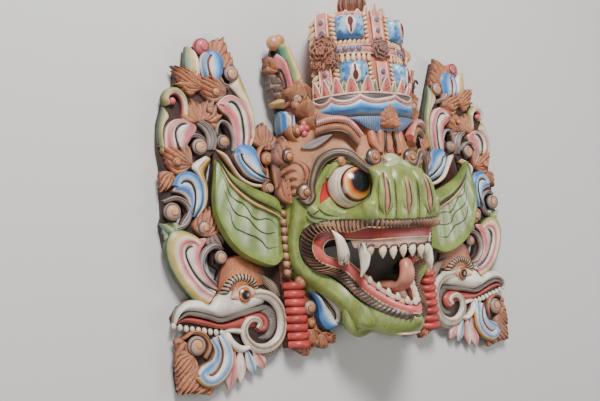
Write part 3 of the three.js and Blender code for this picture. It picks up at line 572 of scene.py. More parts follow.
class Value:
    """A shader socket that takes part in sums, so that a pattern reads as a formula."""

    def __init__(self, shade, socket):
        self.shade = shade
        self.socket = socket

    def sum(self, operation, *others):
        inputs = dict(enumerate((self, *others)))
        return self.shade.node("ShaderNodeMath", {"operation": operation}, inputs)

    def __add__(self, other):
        return self.sum("ADD", other)

    def __sub__(self, other):
        return self.sum("SUBTRACT", other)

    def __mul__(self, other):
        return self.sum("MULTIPLY", other)

    def __rsub__(self, other):
        return self.shade.node("ShaderNodeMath", {"operation": "SUBTRACT"}, {0: other, 1: self})

    __radd__ = __add__
    __rmul__ = __mul__

    def waves(self):
        """Up and down between 0 and a half, once in each whole step."""
        return self.sum("PINGPONG", 0.5)

    def between(self, low, high):
        """0 below low, 1 above high, and an even rise from one to the other."""
        return self.shade.node("ShaderNodeMapRange", {"interpolation_type": "SMOOTHSTEP"},
            {0: self, 1: low, 2: high, 3: 0.0, 4: 1.0})


RICHER = 1.16


def linear(code):
    """A colour written as six hexadecimal digits, as the shader wants it."""
    channels = [int(code[i:i + 2], 16) / 255 for i in (0, 2, 4)]
    middle = sum(channels) / 3
    channels = [min(1.0, max(0.0, middle + (c - middle) * RICHER)) for c in channels]
    return tuple(c / 12.92 if c <= 0.04045 else ((c + 0.055) / 1.055) ** 2.4 for c in channels) + (1.0,)


class Shade:
    """One painted or carved finish, built node by node."""

    def __init__(self, name):
        self.material = bpy.data.materials.new(name)
        self.material.use_nodes = True
        self.tree = self.material.node_tree
        self.surface = self.tree.nodes["Principled BSDF"]
        self.object = self.node("ShaderNodeTexCoord", {}, {}, "Object")

    def node(self, kind, settings, inputs, output=0):
        made = self.tree.nodes.new(kind)
        for key, value in settings.items():
            if key == "stops":
                self.set_stops(made.color_ramp, value)
            else:
                setattr(made, key, value)
        for key, value in inputs.items():
            if isinstance(value, Value):
                self.tree.links.new(value.socket, made.inputs[key])
            else:
                made.inputs[key].default_value = value
        return Value(self, made.outputs[output])

    def set_stops(self, ramp, stops):
        while len(ramp.elements) < len(stops):
            ramp.elements.new(0.5)
        for element, (place, code) in zip(ramp.elements, stops):
            element.position = place
            element.color = linear(code)

    def blend(self, factor, first, second, mode="MIX"):
        """Two colours mixed by factor; 6, 7 and 2 are the mix node's colour sockets."""
        return self.node("ShaderNodeMix", {"data_type": "RGBA", "blend_type": mode},
            {0: factor, 6: first, 7: second}, 2)

    def noise(self, scale, detail=3.0, roughness=0.55, where=None):
        inputs = {"Vector": where or self.object, "Scale": scale, "Detail": detail, "Roughness": roughness}
        return self.node("ShaderNodeTexNoise", {}, inputs)

    def band(self):
        """How far the point is along its band and across it."""
        uv = self.node("ShaderNodeUVMap", {"uv_map": "band"}, {})
        along = self.node("ShaderNodeSeparateXYZ", {}, {0: uv})
        across = Value(self, along.socket.node.outputs[1])
        return along, across

    def ramp(self, factor, stops):
        return self.node("ShaderNodeValToRGB", {"stops": stops}, {0: factor})

    def bump(self, height, strength, distance):
        inputs = {"Height": height, "Strength": strength, "Distance": distance}
        return self.node("ShaderNodeBump", {}, inputs)

    def finish(self, colour, roughness, normal=None, coat=0.0):
        for key, value in (("Base Color", colour), ("Roughness", roughness), ("Normal", normal)):
            if isinstance(value, Value):
                self.tree.links.new(value.socket, self.surface.inputs[key])
            elif value is not None:
                self.surface.inputs[key].default_value = value
        self.surface.inputs["Coat Weight"].default_value = coat
        self.surface.inputs["Coat Roughness"].default_value = 0.25
        return self.material


WOOD_SHOWING = linear("9a6748")
# Dark brown for uneven tone and grime in the paint, and for painted shade at band edges.
GRIME_AND_SHADE = linear("4a3830")


def aged(shade, colour, gloss=0.42, wear=0.35, coat=0.15):
    """Old water paint under a thin varnish: uneven tone, rubbed spots, grime and brush marks."""
    tone = shade.noise(38.0, 4.0)
    fine = shade.noise(520.0, 3.0, 0.7)
    rub = shade.noise(150.0, 5.0, 0.75)
    tinted = shade.blend(tone.between(0.3, 0.75) * 0.42, colour, GRIME_AND_SHADE, "MULTIPLY")
    rubbed = shade.blend(rub.between(0.6, 0.72) * wear, tinted, WOOD_SHOWING)
    dirty = shade.blend(fine.between(0.55, 0.78) * 0.3, rubbed, GRIME_AND_SHADE)
    roughness = tone * 0.22 + fine * 0.12 + (gloss - 0.15)
    height = fine * 0.6 + rub * 0.8
    return shade.finish(dirty, roughness, shade.bump(height, 0.35, 0.0005), coat)


MADE = {}


def paint_of(name):
    """A finish of PAINTS, built when a piece first asks for it."""
    if name not in MADE:
        MADE[name] = PAINTS[name](name)
    return MADE[name]


def banded(stops, **looks):
    """Paint shaded in bands across a carved ribbon, with painted shade that makes it darker at its edges.
    """
    def build(name):
        shade = Shade(name)
        across = shade.band()[1]
        wobble = shade.noise(90.0, 2.0) * 0.06 + across - 0.03
        colour = shade.ramp(wobble, stops)
        # Painted shade: the band darkens where its edges sink into the ground.
        edge = 1 - across.between(0.0, 0.05) * (1 - across.between(0.95, 1.0))
        tool = (wobble * 8.0).waves()
        scored = shade.blend((1 - tool.between(0.0, 0.1)) * 0.3, colour, GRIME_AND_SHADE, "MULTIPLY")
        shaded = shade.blend(edge * 0.6, scored, GRIME_AND_SHADE, "MULTIPLY")
        return aged(shade, shaded, **looks)
    return build


def plain_paint(code, second, **looks):
    """One colour that drifts to a second one in soft clouds."""
    def build(name):
        shade = Shade(name)
        colour = shade.blend(shade.noise(30.0, 3.0).between(0.35, 0.7), linear(code), linear(second))
        return aged(shade, colour, **looks)
    return build


def carved_wood(light, dark, deep):
    """Bare carved wood, tan on the crests, with painted shade of dark red-brown at each band's edges and in
    its cut veins.
    """
    def build(name):
        shade = Shade(name)
        along, across = shade.band()
        vein = shade.node("ShaderNodeTexWave", {"wave_type": "BANDS", "bands_direction": "X"},
            {"Vector": shade.node("ShaderNodeCombineXYZ", {}, {0: across * 5.0, 1: along * 2.0}),
            "Scale": 1.6, "Distortion": 1.2, "Detail": 1.0}, 1)
        crest = across.between(0.02, 0.3) * (1 - across.between(0.7, 0.98))
        grain = shade.noise(260.0, 4.0, 0.65)
        body = shade.blend(grain.between(0.3, 0.75), linear(light), linear(dark))
        # Painted shade: the band's edges and its cut veins are darkened to deep red-brown, as shadow in the
        # hollows.
        cut = shade.blend((1 - crest) * 0.85, body, linear(deep))
        lined = shade.blend(vein.between(0.6, 0.95) * 0.7, cut, linear(deep))
        tone = shade.noise(45.0, 3.0)
        greyed = shade.blend(shade.noise(14.0, 2.0).between(0.5, 0.66) * 0.4, lined, linear("8c7a78"))
        toned = shade.blend(tone.between(0.45, 0.75) * 0.3, greyed, linear(deep))
        rosy = shade.blend(shade.noise(70.0, 3.0).between(0.56, 0.7) * 0.4, toned, linear("cf7e76"))
        height = grain * 0.5 + (1 - vein) * 0.8
        return shade.finish(rosy, grain * 0.2 + 0.5, shade.bump(height, 0.5, 0.0006), 0.05)
    return build


def hatched(light, dark, count=26.0, lean=0.25):
    """Close dark and cream strokes cut across a band, as painted hair."""
    def build(name):
        shade = Shade(name)
        along, across = shade.band()
        phase = along * count + across * lean + shade.noise(60.0, 2.0) * 0.5
        stroke = phase.waves()
        colour = shade.blend(stroke.between(0.2, 0.3), linear(dark), linear(light))
        made = aged(shade, colour)
        bump = shade.bump(stroke, 0.9, 0.0012)
        shade.tree.links.new(bump.socket, shade.surface.inputs["Normal"])
        return made
    return build


def ringed(stops, gloss=0.3, coat=0.4, wear=0.2):
    """Rings of paint round a ball's middle."""
    def build(name):
        shade = Shade(name)
        across = shade.band()[1]
        return aged(shade, shade.ramp(across, stops), gloss=gloss, coat=coat, wear=wear)
    return build


OLIVE_STOPS = [(0.0, "6f7f5c"), (0.25, "9aa27e"), (0.38, "c9a55a"), (0.52, "dcc27c"), (0.62, "f0e0c4"),
    (1.0, "f3e4d3")]
PAINTS = {
    "comma_pink": banded([(0.0, "ecd3c0"), (0.1, "f2dccf"), (0.2, "d47a7c"), (0.36, "c86c72"),
        (0.5, "e8a8a2"), (0.56, "b4706c"), (0.62, "f4e2d6"), (1.0, "f6ece2")]),
    "lobe_pink": banded([(0.0, "f6ece2"), (0.3, "f3ddd0"), (0.52, "e08f8e"), (0.75, "d6747c"),
        (0.92, "e6aea4"), (1.0, "c99a88")]),
    "comma_blue": banded([(0.0, "9fb9d4"), (0.1, "4f82ba"), (0.3, "447ab6"), (0.5, "82aeda"),
        (0.68, "c6dcee"), (0.8, "f1efe9"), (1.0, "f6f0e8")]),
    "lobe_blue": banded([(0.0, "f6f0e8"), (0.25, "dfe6ea"), (0.45, "8fb2d8"), (0.62, "5a8ac2"),
        (0.78, "6d94bd"), (0.88, "f0dfd0"), (1.0, "d9b9a6")]),
    "comma_blue_ochre": banded([(0.0, "a47a4c"), (0.12, "c19a5e"), (0.24, "ede0cc"), (0.36, "6f93bd"),
        (0.55, "8fb3d8"), (0.75, "e8ebe9"), (1.0, "f3ece2")]),
    "comma_banded": banded([(0.0, "73835a"), (0.1, "94a06c"), (0.18, "c7a45c"), (0.28, "d8bd7a"),
        (0.36, "f2e2cf"), (0.46, "f1d3c6"), (0.58, "d67c7e"), (0.68, "ca6c72"), (0.78, "f2ddd0"),
        (1.0, "f6ece2")]),
    "strip_olive": banded(OLIVE_STOPS),
    "strip_cream": banded([(0.0, "f1e2d6"), (0.3, "f4e6da"), (0.5, "e3bba6"), (0.65, "d9a487"),
        (0.8, "c8a07a"), (1.0, "a9875f")]),
    "strip_ochre": banded([(0.0, "8d8f66"), (0.15, "b58f4e"), (0.35, "d2a856"), (0.5, "e6cf95"),
        (0.65, "f3e9d8"), (1.0, "f4ebe0")]),
    "hook_yellow": banded([(0.0, "7f8c60"), (0.2, "b6ab6c"), (0.35, "d6be74"), (0.5, "f2ead6"),
        (0.7, "f4e9dc"), (0.85, "d98f84"), (1.0, "b9625c")]),
    "leaf_pale": banded([(0.0, "f0ded2"), (0.25, "f5efe6"), (0.45, "e2cf9a"), (0.6, "d0b26a"),
        (0.75, "a9b295"), (1.0, "7f9480")]),
    "leaf_green": banded([(0.0, "8d9a6a"), (0.5, "a8b58e"), (1.0, "7f9480")]),
    "petal_pink": banded([(0.0, "f0d9cc"), (0.3, "dd9a94"), (0.5, "cf7f7f"), (0.7, "e0a29a"),
        (1.0, "f2e2d6")]),
    "petal_blue": banded([(0.0, "f1ece4"), (0.3, "a9bccb"), (0.5, "7f98ae"), (0.7, "b9c7cf"),
        (1.0, "f1ece4")]),
    "petal_pale": banded([(0.0, "e3a9a0"), (0.25, "f3e3d8"), (0.5, "f6efe6"), (0.75, "eec3b8"),
        (1.0, "d98f8a")]),
    "grey_band": banded([(0.0, "8b7a76"), (0.25, "a79a96"), (0.5, "8f8482"), (0.75, "b3a59e"),
        (1.0, "7f6a62")]),
    # Painted shade: the stops darken at both edges, where the band sinks into the ground.
    "brown_band": banded([(0.0, "7c4e38"), (0.3, "b98462"), (0.6, "c89674"), (1.0, "6f4432")]),
    "lip_grey": banded([(0.0, "8a8480"), (0.3, "5e5652"), (0.6, "8f8782"), (0.85, "b2a79e"),
        (1.0, "7a5c52")]),
    "beak_red": banded([(0.0, "9c4a42"), (0.4, "b4564c"), (0.8, "a84a44"), (1.0, "c9877a")]),
    "bone_white": banded([(0.0, "cdb8a2"), (0.12, "efe6d8"), (0.5, "f7f2e8"), (0.88, "efe4d4"),
        (1.0, "bfa58e")]),
    "lid_pink": banded([(0.0, "b98a74"), (0.3, "e3c3a8"), (0.6, "dca08c"), (1.0, "b06a5c")]),
    "crest_orange": carved_wood("cf9068", "b46f48", "7c4430"),
    "carved_wood": carved_wood("cf9874", "ad7052", "54302a"),
    "carved_grey": carved_wood("a8948a", "8a746a", "4e3c36"),
    "hatched": hatched("b9a38c", "4a3e3a"),
    "lash_black": hatched("c4a88c", "241d1d", 15.0, 0.1),
    "hatched_grey": hatched("8d847c", "5a504c", 34.0),
    "rose_paint": plain_paint("cc6f70", "b85f62", wear=0.5),
    "tooth_white": plain_paint("f3ecdc", "e2d3ba", wear=0.1),
    "groove_black": plain_paint("241c1e", "3a2c2a", wear=0.2),
    "knob_line": plain_paint("5c3f34", "7a5546"),
    "groove_red": plain_paint("7c3a34", "8f4a40", wear=0.2),
    # Orange middle and grey ring; the dark last stop at the rim is painted shade where the ball meets the
    # board.
    "volute_ball": ringed([(0.0, "d9965e"), (0.25, "cf9a74"), (0.5, "a8978f"), (0.8, "94857f"),
        (1.0, "5c4a44")], gloss=0.5, coat=0.08, wear=0.4),
    # Light in the middle and darkening towards the rim, as painted shade where the ball meets the board.
    "wood_ball": ringed([(0.0, "cf9870"), (0.5, "b87a56"), (0.85, "8f5a40"), (1.0, "5e3828")], gloss=0.5,
        coat=0.08, wear=0.4),
    "bird_eye": ringed([(0.0, "3c434d"), (0.1, "1b1d25"), (0.26, "15161c"), (0.31, "5a3426"),
        (0.4, "b9784e"), (0.48, "c98a5c"), (0.52, "4a2c22"), (0.57, "4a2c22"), (0.61, "dcae84"),
        (0.74, "ead2b4"), (0.84, "b9744e"), (1.0, "8a5a48")], gloss=0.25, coat=0.7, wear=0.0),
    # Wood of the boards' ground, made near black as painted shade so the ground between the reliefs reads
    # as deep shadow.
    "ground_wood": plain_paint("3f2820", "2c1b17", gloss=0.6, wear=0.05, coat=0.0),
}


def make_board(side, flip):
    node = f"{side}_wing"
    carving = Carving()
    board_layout(carving)
    bird_head(carving)
    relief = carving.object(f"{side}_board_relief", flip)
    ground = pierced_board(f"{side}_board_ground", BOARD_OUTLINE, BOARD_OPENINGS, 0.0, BOARD, flip)
    # The near-black ground is painted shade between the reliefs.
    ground.data.materials.append(paint_of("ground_wood"))
    for piece in (relief, ground):
        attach(piece, "root")
        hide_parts(node)


make_board("left", True)
make_board("right", False)

# Face block
# The beast's head: one carved block of wood, hollow behind, with the snout, brows, lips, comb of
# bristles, cheek roll and jaw cut from it, primed white, painted and varnished.

def more_rings(rings, steps):
    """Rings between the given ones, every point of them on a smooth curve."""
    rings = np.array(rings, float)
    return np.stack([smooth_path(rings[:, k], steps) for k in range(rings.shape[1])], axis=1)


def mesh_rows(rows, steps):
    """Smooth rows of control points along and across into an even grid."""
    return more_rings([smooth_path(row, steps[1]) for row in rows], steps[0])


def surface_normals(grid, centre):
    """Outward directions over a grid of points."""
    cross = np.cross(np.gradient(grid, axis=0), np.gradient(grid, axis=1))
    cross /= np.maximum(np.linalg.norm(cross, axis=2, keepdims=True), 1e-9)
    facing = np.sum(cross * (grid - np.asarray(centre, float)))
    return cross if facing > 0 else -cross


def strap(carving, edges, paint, thick=5.0, lift=0.0, bulge=0.0, steps=(60, 9), centre=(0, -90, 20),
        grooves=()):
    """A shaped band between space curves, raised over the wood under it and closed behind."""
    edges = [smooth_path(edge, 24) for edge in edges]
    grid = mesh_rows(np.array(edges), (steps[1], steps[0])).transpose(1, 0, 2)
    out = surface_normals(grid, centre)
    v = np.linspace(0, 1, steps[1])
    rise = lift + bulge * np.sin(np.pi * v)
    for place in grooves:
        rise = rise - bulge * 0.5 * np.exp(-((v - place) / 0.06) ** 2)
    front = grid + out * rise[None, :, None]
    back = (grid - out * thick)[:, [-1, steps[1] // 2, 0]]
    rings = np.concatenate([front, back], axis=1)
    carving.grid(rings, paint, across=np.concatenate([v, [1, 0.5, 0]]))


class Pair:
    """Puts each shell on the right and, mirrored, on the left."""

    def __init__(self, carving):
        self.carving = carving

    def grid(self, rings, paint, **more):
        rings = np.asarray(rings, float)
        self.carving.grid(rings, paint, **more)
        self.carving.grid(rings * [-1, 1, 1], paint, **more)

    @property
    def uvs(self):
        return self.carving.uvs


FACE_ROWS = [
    (92, [(0, 96), (14, 95), (28, 92), (40, 88), (50, 83), (58, 77), (66, 70), (76, 60), (86, 48), (94, 30),
        (98, 8)]),
    (70, [(0, 98), (14, 98), (28, 96), (40, 93), (52, 88), (62, 83), (72, 76), (84, 64), (96, 48),
        (104, 28), (107, 8)]),
    (48, [(0, 100), (14, 99), (28, 97), (42, 94), (56, 89), (68, 83), (80, 75), (94, 62), (108, 46),
        (117, 28), (121, 8)]),
    (28, [(0, 103), (14, 101), (28, 99), (42, 95), (56, 90), (70, 83), (84, 74), (102, 60), (118, 44),
        (128, 26), (132, 8)]),
    (12, [(0, 107), (14, 105), (28, 102), (42, 98), (56, 93), (70, 84), (86, 73), (106, 58), (122, 42),
        (132, 24), (136, 8)]),
    (2, [(0, 112), (12, 111), (24, 108), (36, 102), (48, 95), (60, 88), (78, 76), (102, 60), (122, 42),
        (133, 24), (137, 8)]),
    (-8, [(0, 122), (14, 121), (28, 116), (36, 108), (40, 98), (46, 88), (66, 72), (96, 62), (120, 44),
        (132, 26), (137, 8)]),
    (-18, [(0, 133), (16, 132.5), (32, 130), (44, 124), (44, 112), (36, 96), (54, 66), (92, 62), (116, 46),
        (130, 28), (136, 8)]),
    (-33, [(0, 138.5), (18, 138.5), (36, 137), (42, 131), (43, 117), (28, 98), (54, 58), (90, 66),
        (112, 50), (128, 30), (134, 8)]),
    (-48, [(0, 139.5), (18, 139), (38, 138), (46, 132), (47, 117), (32, 98), (56, 60), (90, 66), (112, 50),
        (127, 30), (133, 8)]),
    (-62, [(0, 139), (20, 138.5), (44, 137), (61, 131), (62, 116), (50, 98), (62, 74), (92, 66), (113, 49),
        (127, 30), (133, 8)]),
    (-72, [(0, 137.5), (22, 137), (46, 135.5), (65, 130), (67, 115), (66, 99), (72, 84), (92, 68),
        (114, 50), (127, 30), (133, 8)]),
    (-84, [(0, 135), (24, 134.5), (46, 132.5), (63, 127), (67, 112), (70, 94), (80, 80), (96, 64),
        (115, 48), (128, 30), (133, 8)]),
    (-97, [(0, 129), (22, 129), (40, 126), (53, 119), (60, 106), (68, 88), (80, 70), (95, 57), (115, 46),
        (128, 28), (133, 8)]),
    (-110, [(0, 119), (20, 119), (36, 117), (48, 111), (55, 100), (64, 83), (78, 64), (94, 48), (113, 42),
        (126, 26), (132, 8)]),
]
FACE_FALL = [0, 0, 0, 0, 0, 0, 0, 0, 0, 0, 0, -2, -8, -18, -32]


def upper_face(carving):
    rows, columns = 110, 141
    front = []
    for (y, half), fall in zip(FACE_ROWS, FACE_FALL):
        level = [(x, y + fall * min(1, max(0, (x - 60) / 50)), z) for x, z in half]
        front.append([(-x, level_y, z) for x, level_y, z in level[:0:-1]] + level)
    skin = mesh_rows(np.array(front, float), (rows, columns))
    out = surface_normals(skin, (0, -20, 40))
    x = np.abs(skin[..., 0])
    y = skin[..., 1]
    on_snout = np.clip((skin[..., 2] - 118) / 10, 0, 1)
    dip = np.zeros(x.shape)
    for place, depth, width in ((20, 4.2, 3.0), (27, 0.8, 1.2), (10, 0.7, 1.5), (49, 3.2, 3.0),
            (0, 2.4, 3.0), (38, 2.6, 3.0)):
        dip += depth * np.exp(-((x - place) / width) ** 2) * on_snout
    flank = np.clip(1 - np.abs(skin[..., 2] - 98) / 22, 0, 1) * (y < -58)
    dip += 1.2 * np.exp(-((y + 70 + 0.25 * (x - 60)) / 2.5) ** 2) * flank
    skin = skin - out * dip[..., None]
    lowest = np.interp(x, [0, 56, 70, 84, 100, 112, 118, 124],
        [-125, -118, -103, -89, -86, -90, -108, -142])
    skin[..., 1] = np.maximum(y, lowest)
    hollow_depth = np.interp(-y, [-54, -48, -28, -12, 18, 62, 142], [0, 22, 46, 60, 80, 92, 92])
    share = np.clip(1 - (x / 88) ** 2, 0, 1)
    back = skin.copy()
    back[..., 2] = np.minimum(hollow_depth * share, np.maximum(skin[..., 2] - 9, 0))
    rings = np.concatenate([skin, back[:, ::-4]], axis=1)
    start = len(carving.paints)
    carving.grid(rings, "face_green")
    tan = carving.paint("forehead_tan")
    inside = carving.paint("bare_inside")
    brow = np.array([(0, 10), (16, -4), (28, -10), (42, -14), (50, -8), (60, 4), (71, 9), (82, 8), (93, -2),
        (100, -22), (107, -40), (116, -49), (140, -52)], float)
    count = rings.shape[1]
    for i in range(rows - 1):
        for j in range(count):
            face = start + i * count + j
            if j >= columns - 1:
                carving.paints[face] = inside
                continue
            if skin[i, j, 1] > np.interp(abs(skin[i, j, 0]), brow[:, 0], brow[:, 1]):
                carving.paints[face] = tan


def eyeball(pair, centre, radius):
    """Rings of paint on the ball, set round an axis that swings from straight ahead to outward."""
    ahead = np.array([-0.06, 0.15, 0.985])
    outward = np.array([0.19, -0.08, 0.98])
    polar = np.radians([1, 8, 15, 22, 26.5, 28.5, 31, 34, 37, 40, 43, 45, 47.5, 50, 53, 58, 66, 78, 90,
        102])
    swing = np.clip((np.degrees(polar) - 20) / 34, 0, 1)
    angles = 2 * np.pi * np.arange(56) / 56
    rings = []
    for p, s in zip(polar, swing):
        axis = ahead * (1 - s) + outward * s
        axis /= np.linalg.norm(axis)
        side = np.cross(axis, [0, 1, 0])
        side /= np.linalg.norm(side)
        up = np.cross(side, axis)
        spread = np.cos(angles)[:, None] * side + np.sin(angles)[:, None] * up
        rings.append(np.array(centre) + radius * (np.sin(p) * spread + np.cos(p) * axis))
    start = len(pair.uvs)
    pair.grid(rings, "eye_paint")
    middle_out(pair, start, np.degrees(polar) / 102)


EYE = (53, -33, 75)
EYE_RADIUS = 33


def on_ball(degrees, reach, lift=0.0):
    """A point on the eyeball's rim circle: degrees round from outward, reach as an angle off its axis."""
    axis = np.array([0.20, 0.03, 0.979])
    side = np.cross([0, 1, 0], axis)
    side /= np.linalg.norm(side)
    up = np.cross(axis, side)
    a, p = math.radians(degrees), math.radians(reach)
    spread = math.cos(a) * side + math.sin(a) * up
    return np.array(EYE) + (EYE_RADIUS + lift) * (math.sin(p) * spread + math.cos(p) * axis)


def eye_and_lids(pair):
    eyeball(pair, EYE, EYE_RADIUS)
    # Green lids over and under the ball, the red corner outside it, and the folds below
    upper_rim = [on_ball(a, 84, 1.5) for a in (205, 185, 160, 135, 110, 85, 60, 35)]
    upper_edge = [(20, -28, 104), (19, -14, 108), (24, -4, 108), (36, 1, 104), (52, 6, 98), (68, 6, 90),
        (82, -2, 80), (90, -18, 71)]
    strap(pair, [upper_rim, upper_edge], "face_green", thick=9, bulge=2.5, steps=(50, 9))
    lower_rim = [on_ball(a, 84, 1.5) for a in (215, 235, 255, 275, 295, 315, 335)]
    lower_edge = [(26, -46, 108), (34, -62, 106), (46, -72, 100), (60, -76, 92), (76, -76, 82),
        (92, -70, 72), (100, -60, 64)]
    strap(pair, [lower_rim, lower_edge], "face_green", thick=10, bulge=4, steps=(50, 9))
    strap(pair, [[on_ball(a, 86, 1.0) for a in (14, 4, -8, -20, -32, -44, -56)],
        [(85, -22, 74), (90, -30, 69), (94, -40, 65), (97, -50, 62), (96, -60, 63), (89, -65, 67),
        (79, -66, 75)]], "corner_red", thick=6, bulge=1.5, steps=(60, 9))
    outer_rim = [(78, -6, 84), (84, -18, 76), (91, -30, 69), (97, -42, 64), (101, -54, 61), (97, -63, 64)]
    outer_edge = [(88, -2, 74), (97, -16, 66), (104, -30, 60), (110, -44, 56), (114, -60, 53),
        (106, -70, 60)]
    strap(pair, [outer_rim, outer_edge], "face_green", thick=9, bulge=3, steps=(40, 9))
    for fold in ([(112, -62, 55), (106, -72, 60), (96, -76, 66), (84, -80, 74)],
            [(116, -64, 52), (110, -78, 57), (98, -83, 64), (86, -86, 72)],
            [(70, -83, 88), (58, -80, 100), (50, -68, 110), (47, -52, 112), (46, -38, 114)]):
        cord(pair, fold, [0.4, 1.3, 1.3, 0.4], "green_dark", sides=8, steps=26)
    cord(pair, [on_ball(a, 82, 0.8) for a in (70, 50, 30, 10, -10, -30, -55, -80)], [0.3, 0.8, 0.8, 0.3],
         "line_red", sides=8, steps=40)
    knob(pair, 70, 1, 90, 8, "forehead_tan", squash=0.6)
    cord(pair, [(48, 0, 103), (58, 5, 99), (70, 5, 94), (80, 0, 84)], [0.8, 2.6, 2.6, 0.6], "forehead_tan",
        sides=10)


def brows(pair):
    outer = [(124, -50, 55), (112, -58, 57), (101, -48, 62), (101, -30, 66), (93, -6, 77), (82, 3, 86),
        (71, 4, 93), (61, -3, 100), (50, -15, 105), (38, -22, 109), (24, -19, 114), (15, -8, 117)]
    inner = [(128, -40, 54), (120, -50, 56), (110, -44, 60), (111, -26, 61), (102, 4, 69), (88, 16, 80),
        (72, 18, 91), (59, 13, 99), (48, 0, 106), (38, -8, 111), (28, -8, 115), (23, 0, 116)]
    strap(pair, [outer, inner], "brow_paint", thick=7, lift=2.5, bulge=3.5, steps=(90, 13), grooves=(0.5,))
    knob(pair, 34, 1, 113, 13, "brow_volute", squash=0.45)
    knob(pair, 34, 1, 117, 6, "wood_ball", squash=0.6)
    knob(pair, 113, -39, 56, 13, "brow_volute", squash=0.45, direction=(0.4, 0, 1))
    knob(pair, 113, -39, 61, 6, "wood_ball", squash=0.6, direction=(0.4, 0, 1))
    # Under the crown's border the blue runs on, hatched grey, down to the arches over the forehead
    border = both_ways([(0, 59.6, 111), (30, 59.6, 109), (56, 59.6, 98), (76, 59.6, 84), (92, 59.6, 66)])
    arches = both_ways([(0, 34, 108), (30, 42, 105), (52, 54, 99), (76, 57, 86), (92, 57, 70)])
    strap(pair.carving, [border, arches], "cloud_low", thick=10, lift=3, bulge=2, steps=(90, 9),
        centre=(0, 40, 0))
    # Arches over the forehead: a scalloped rope, a ribbed arch, a dark line and a grey crescent
    strap(pair, [[(97, 58, 76), (88, 61, 84), (78, 62, 91), (62, 59, 97), (52, 50, 101), (43, 36, 104)],
        [(97, 49, 75), (88, 52, 83), (76, 53, 91), (62, 49, 97), (54, 40, 101), (47, 29, 104)]],
        "rope_pink", thick=6, lift=3, bulge=4, steps=(80, 9))
    strap(pair, [[(98, 48, 74), (88, 51, 82), (76, 52, 90), (62, 48, 97), (54, 39, 101), (47, 28, 104)],
        [(99, 38, 72), (88, 41, 80), (76, 42, 89), (64, 38, 96), (57, 28, 100), (51, 18, 103)]],
        "ribbed_wood", thick=6, lift=2, bulge=2.5, steps=(80, 9))
    cord(pair, [(99, 37, 74), (88, 40, 82), (76, 41, 90), (65, 37, 97), (58, 27, 101), (52, 16, 104)],
        [1, 1.8, 1.8, 0.8], "line_dark", sides=8, steps=50)
    strap(pair, [[(113, 24, 56), (104, 31, 63), (92, 36, 75), (80, 37, 86)], [(110, 21, 58), (100, 20, 67),
        (90, 26, 77), (80, 35.5, 86)]], "grey_band", thick=4, lift=0.4, bulge=0.8, steps=(40, 9))
    for shift in (0, 6):
        cord(pair, [(120 - shift, 6, 47 + shift * 0.6), (112 - shift, -2, 54 + shift * 0.5),
            (110 - shift, -16, 57 + shift * 0.5), (118 - shift, -24, 52 + shift * 0.6)],
            [0.4, 1.0, 1.0, 0.4], "line_red", sides=8, steps=24)


LIP_OUT = [(0, -98, 130), (30, -97, 128.5), (50, -97, 126), (62, -95, 118), (69, -98, 93), (77, -95, 76),
    (86, -92, 62), (98, -97, 52), (104, -108, 48), (104, -120, 47), (98, -133, 49), (84, -141, 54),
    (64, -149, 60), (53, -163, 67), (47, -178, 78), (39, -191, 92), (27, -204, 109), (13, -213, 125),
    (0, -216, 135)]
LIP_IN = [(0, -112, 126), (24, -112, 125), (44, -112, 119), (58, -111, 104), (68, -108, 86), (77, -106, 72),
    (84, -106, 60), (89, -112, 54), (90, -118, 52), (88, -125, 52), (80, -130, 54), (70, -133, 57),
    (55, -138, 62), (45, -150, 68), (40, -163, 78), (34, -176, 90), (24, -190, 106), (12, -200, 120),
    (0, -204, 130)]
COMB_OUT = [(0, -88, 136), (30, -87, 134.5), (50, -86, 132), (65, -84, 120), (72, -82, 98), (80, -80, 82),
    (92, -79, 68), (106, -82, 58), (119, -92, 49), (123, -108, 45), (118, -130, 45), (102, -146, 48),
    (80, -156, 55), (66, -170, 64), (58, -186, 76), (49, -200, 92), (34, -213, 109), (17, -222, 123),
    (0, -225, 132)]


def both_ways(half):
    """A curve from the left, over the middle, to the right."""
    half = [tuple(point) for point in half]
    return [(-x, y, z) for x, y, z in half[:0:-1]] + half


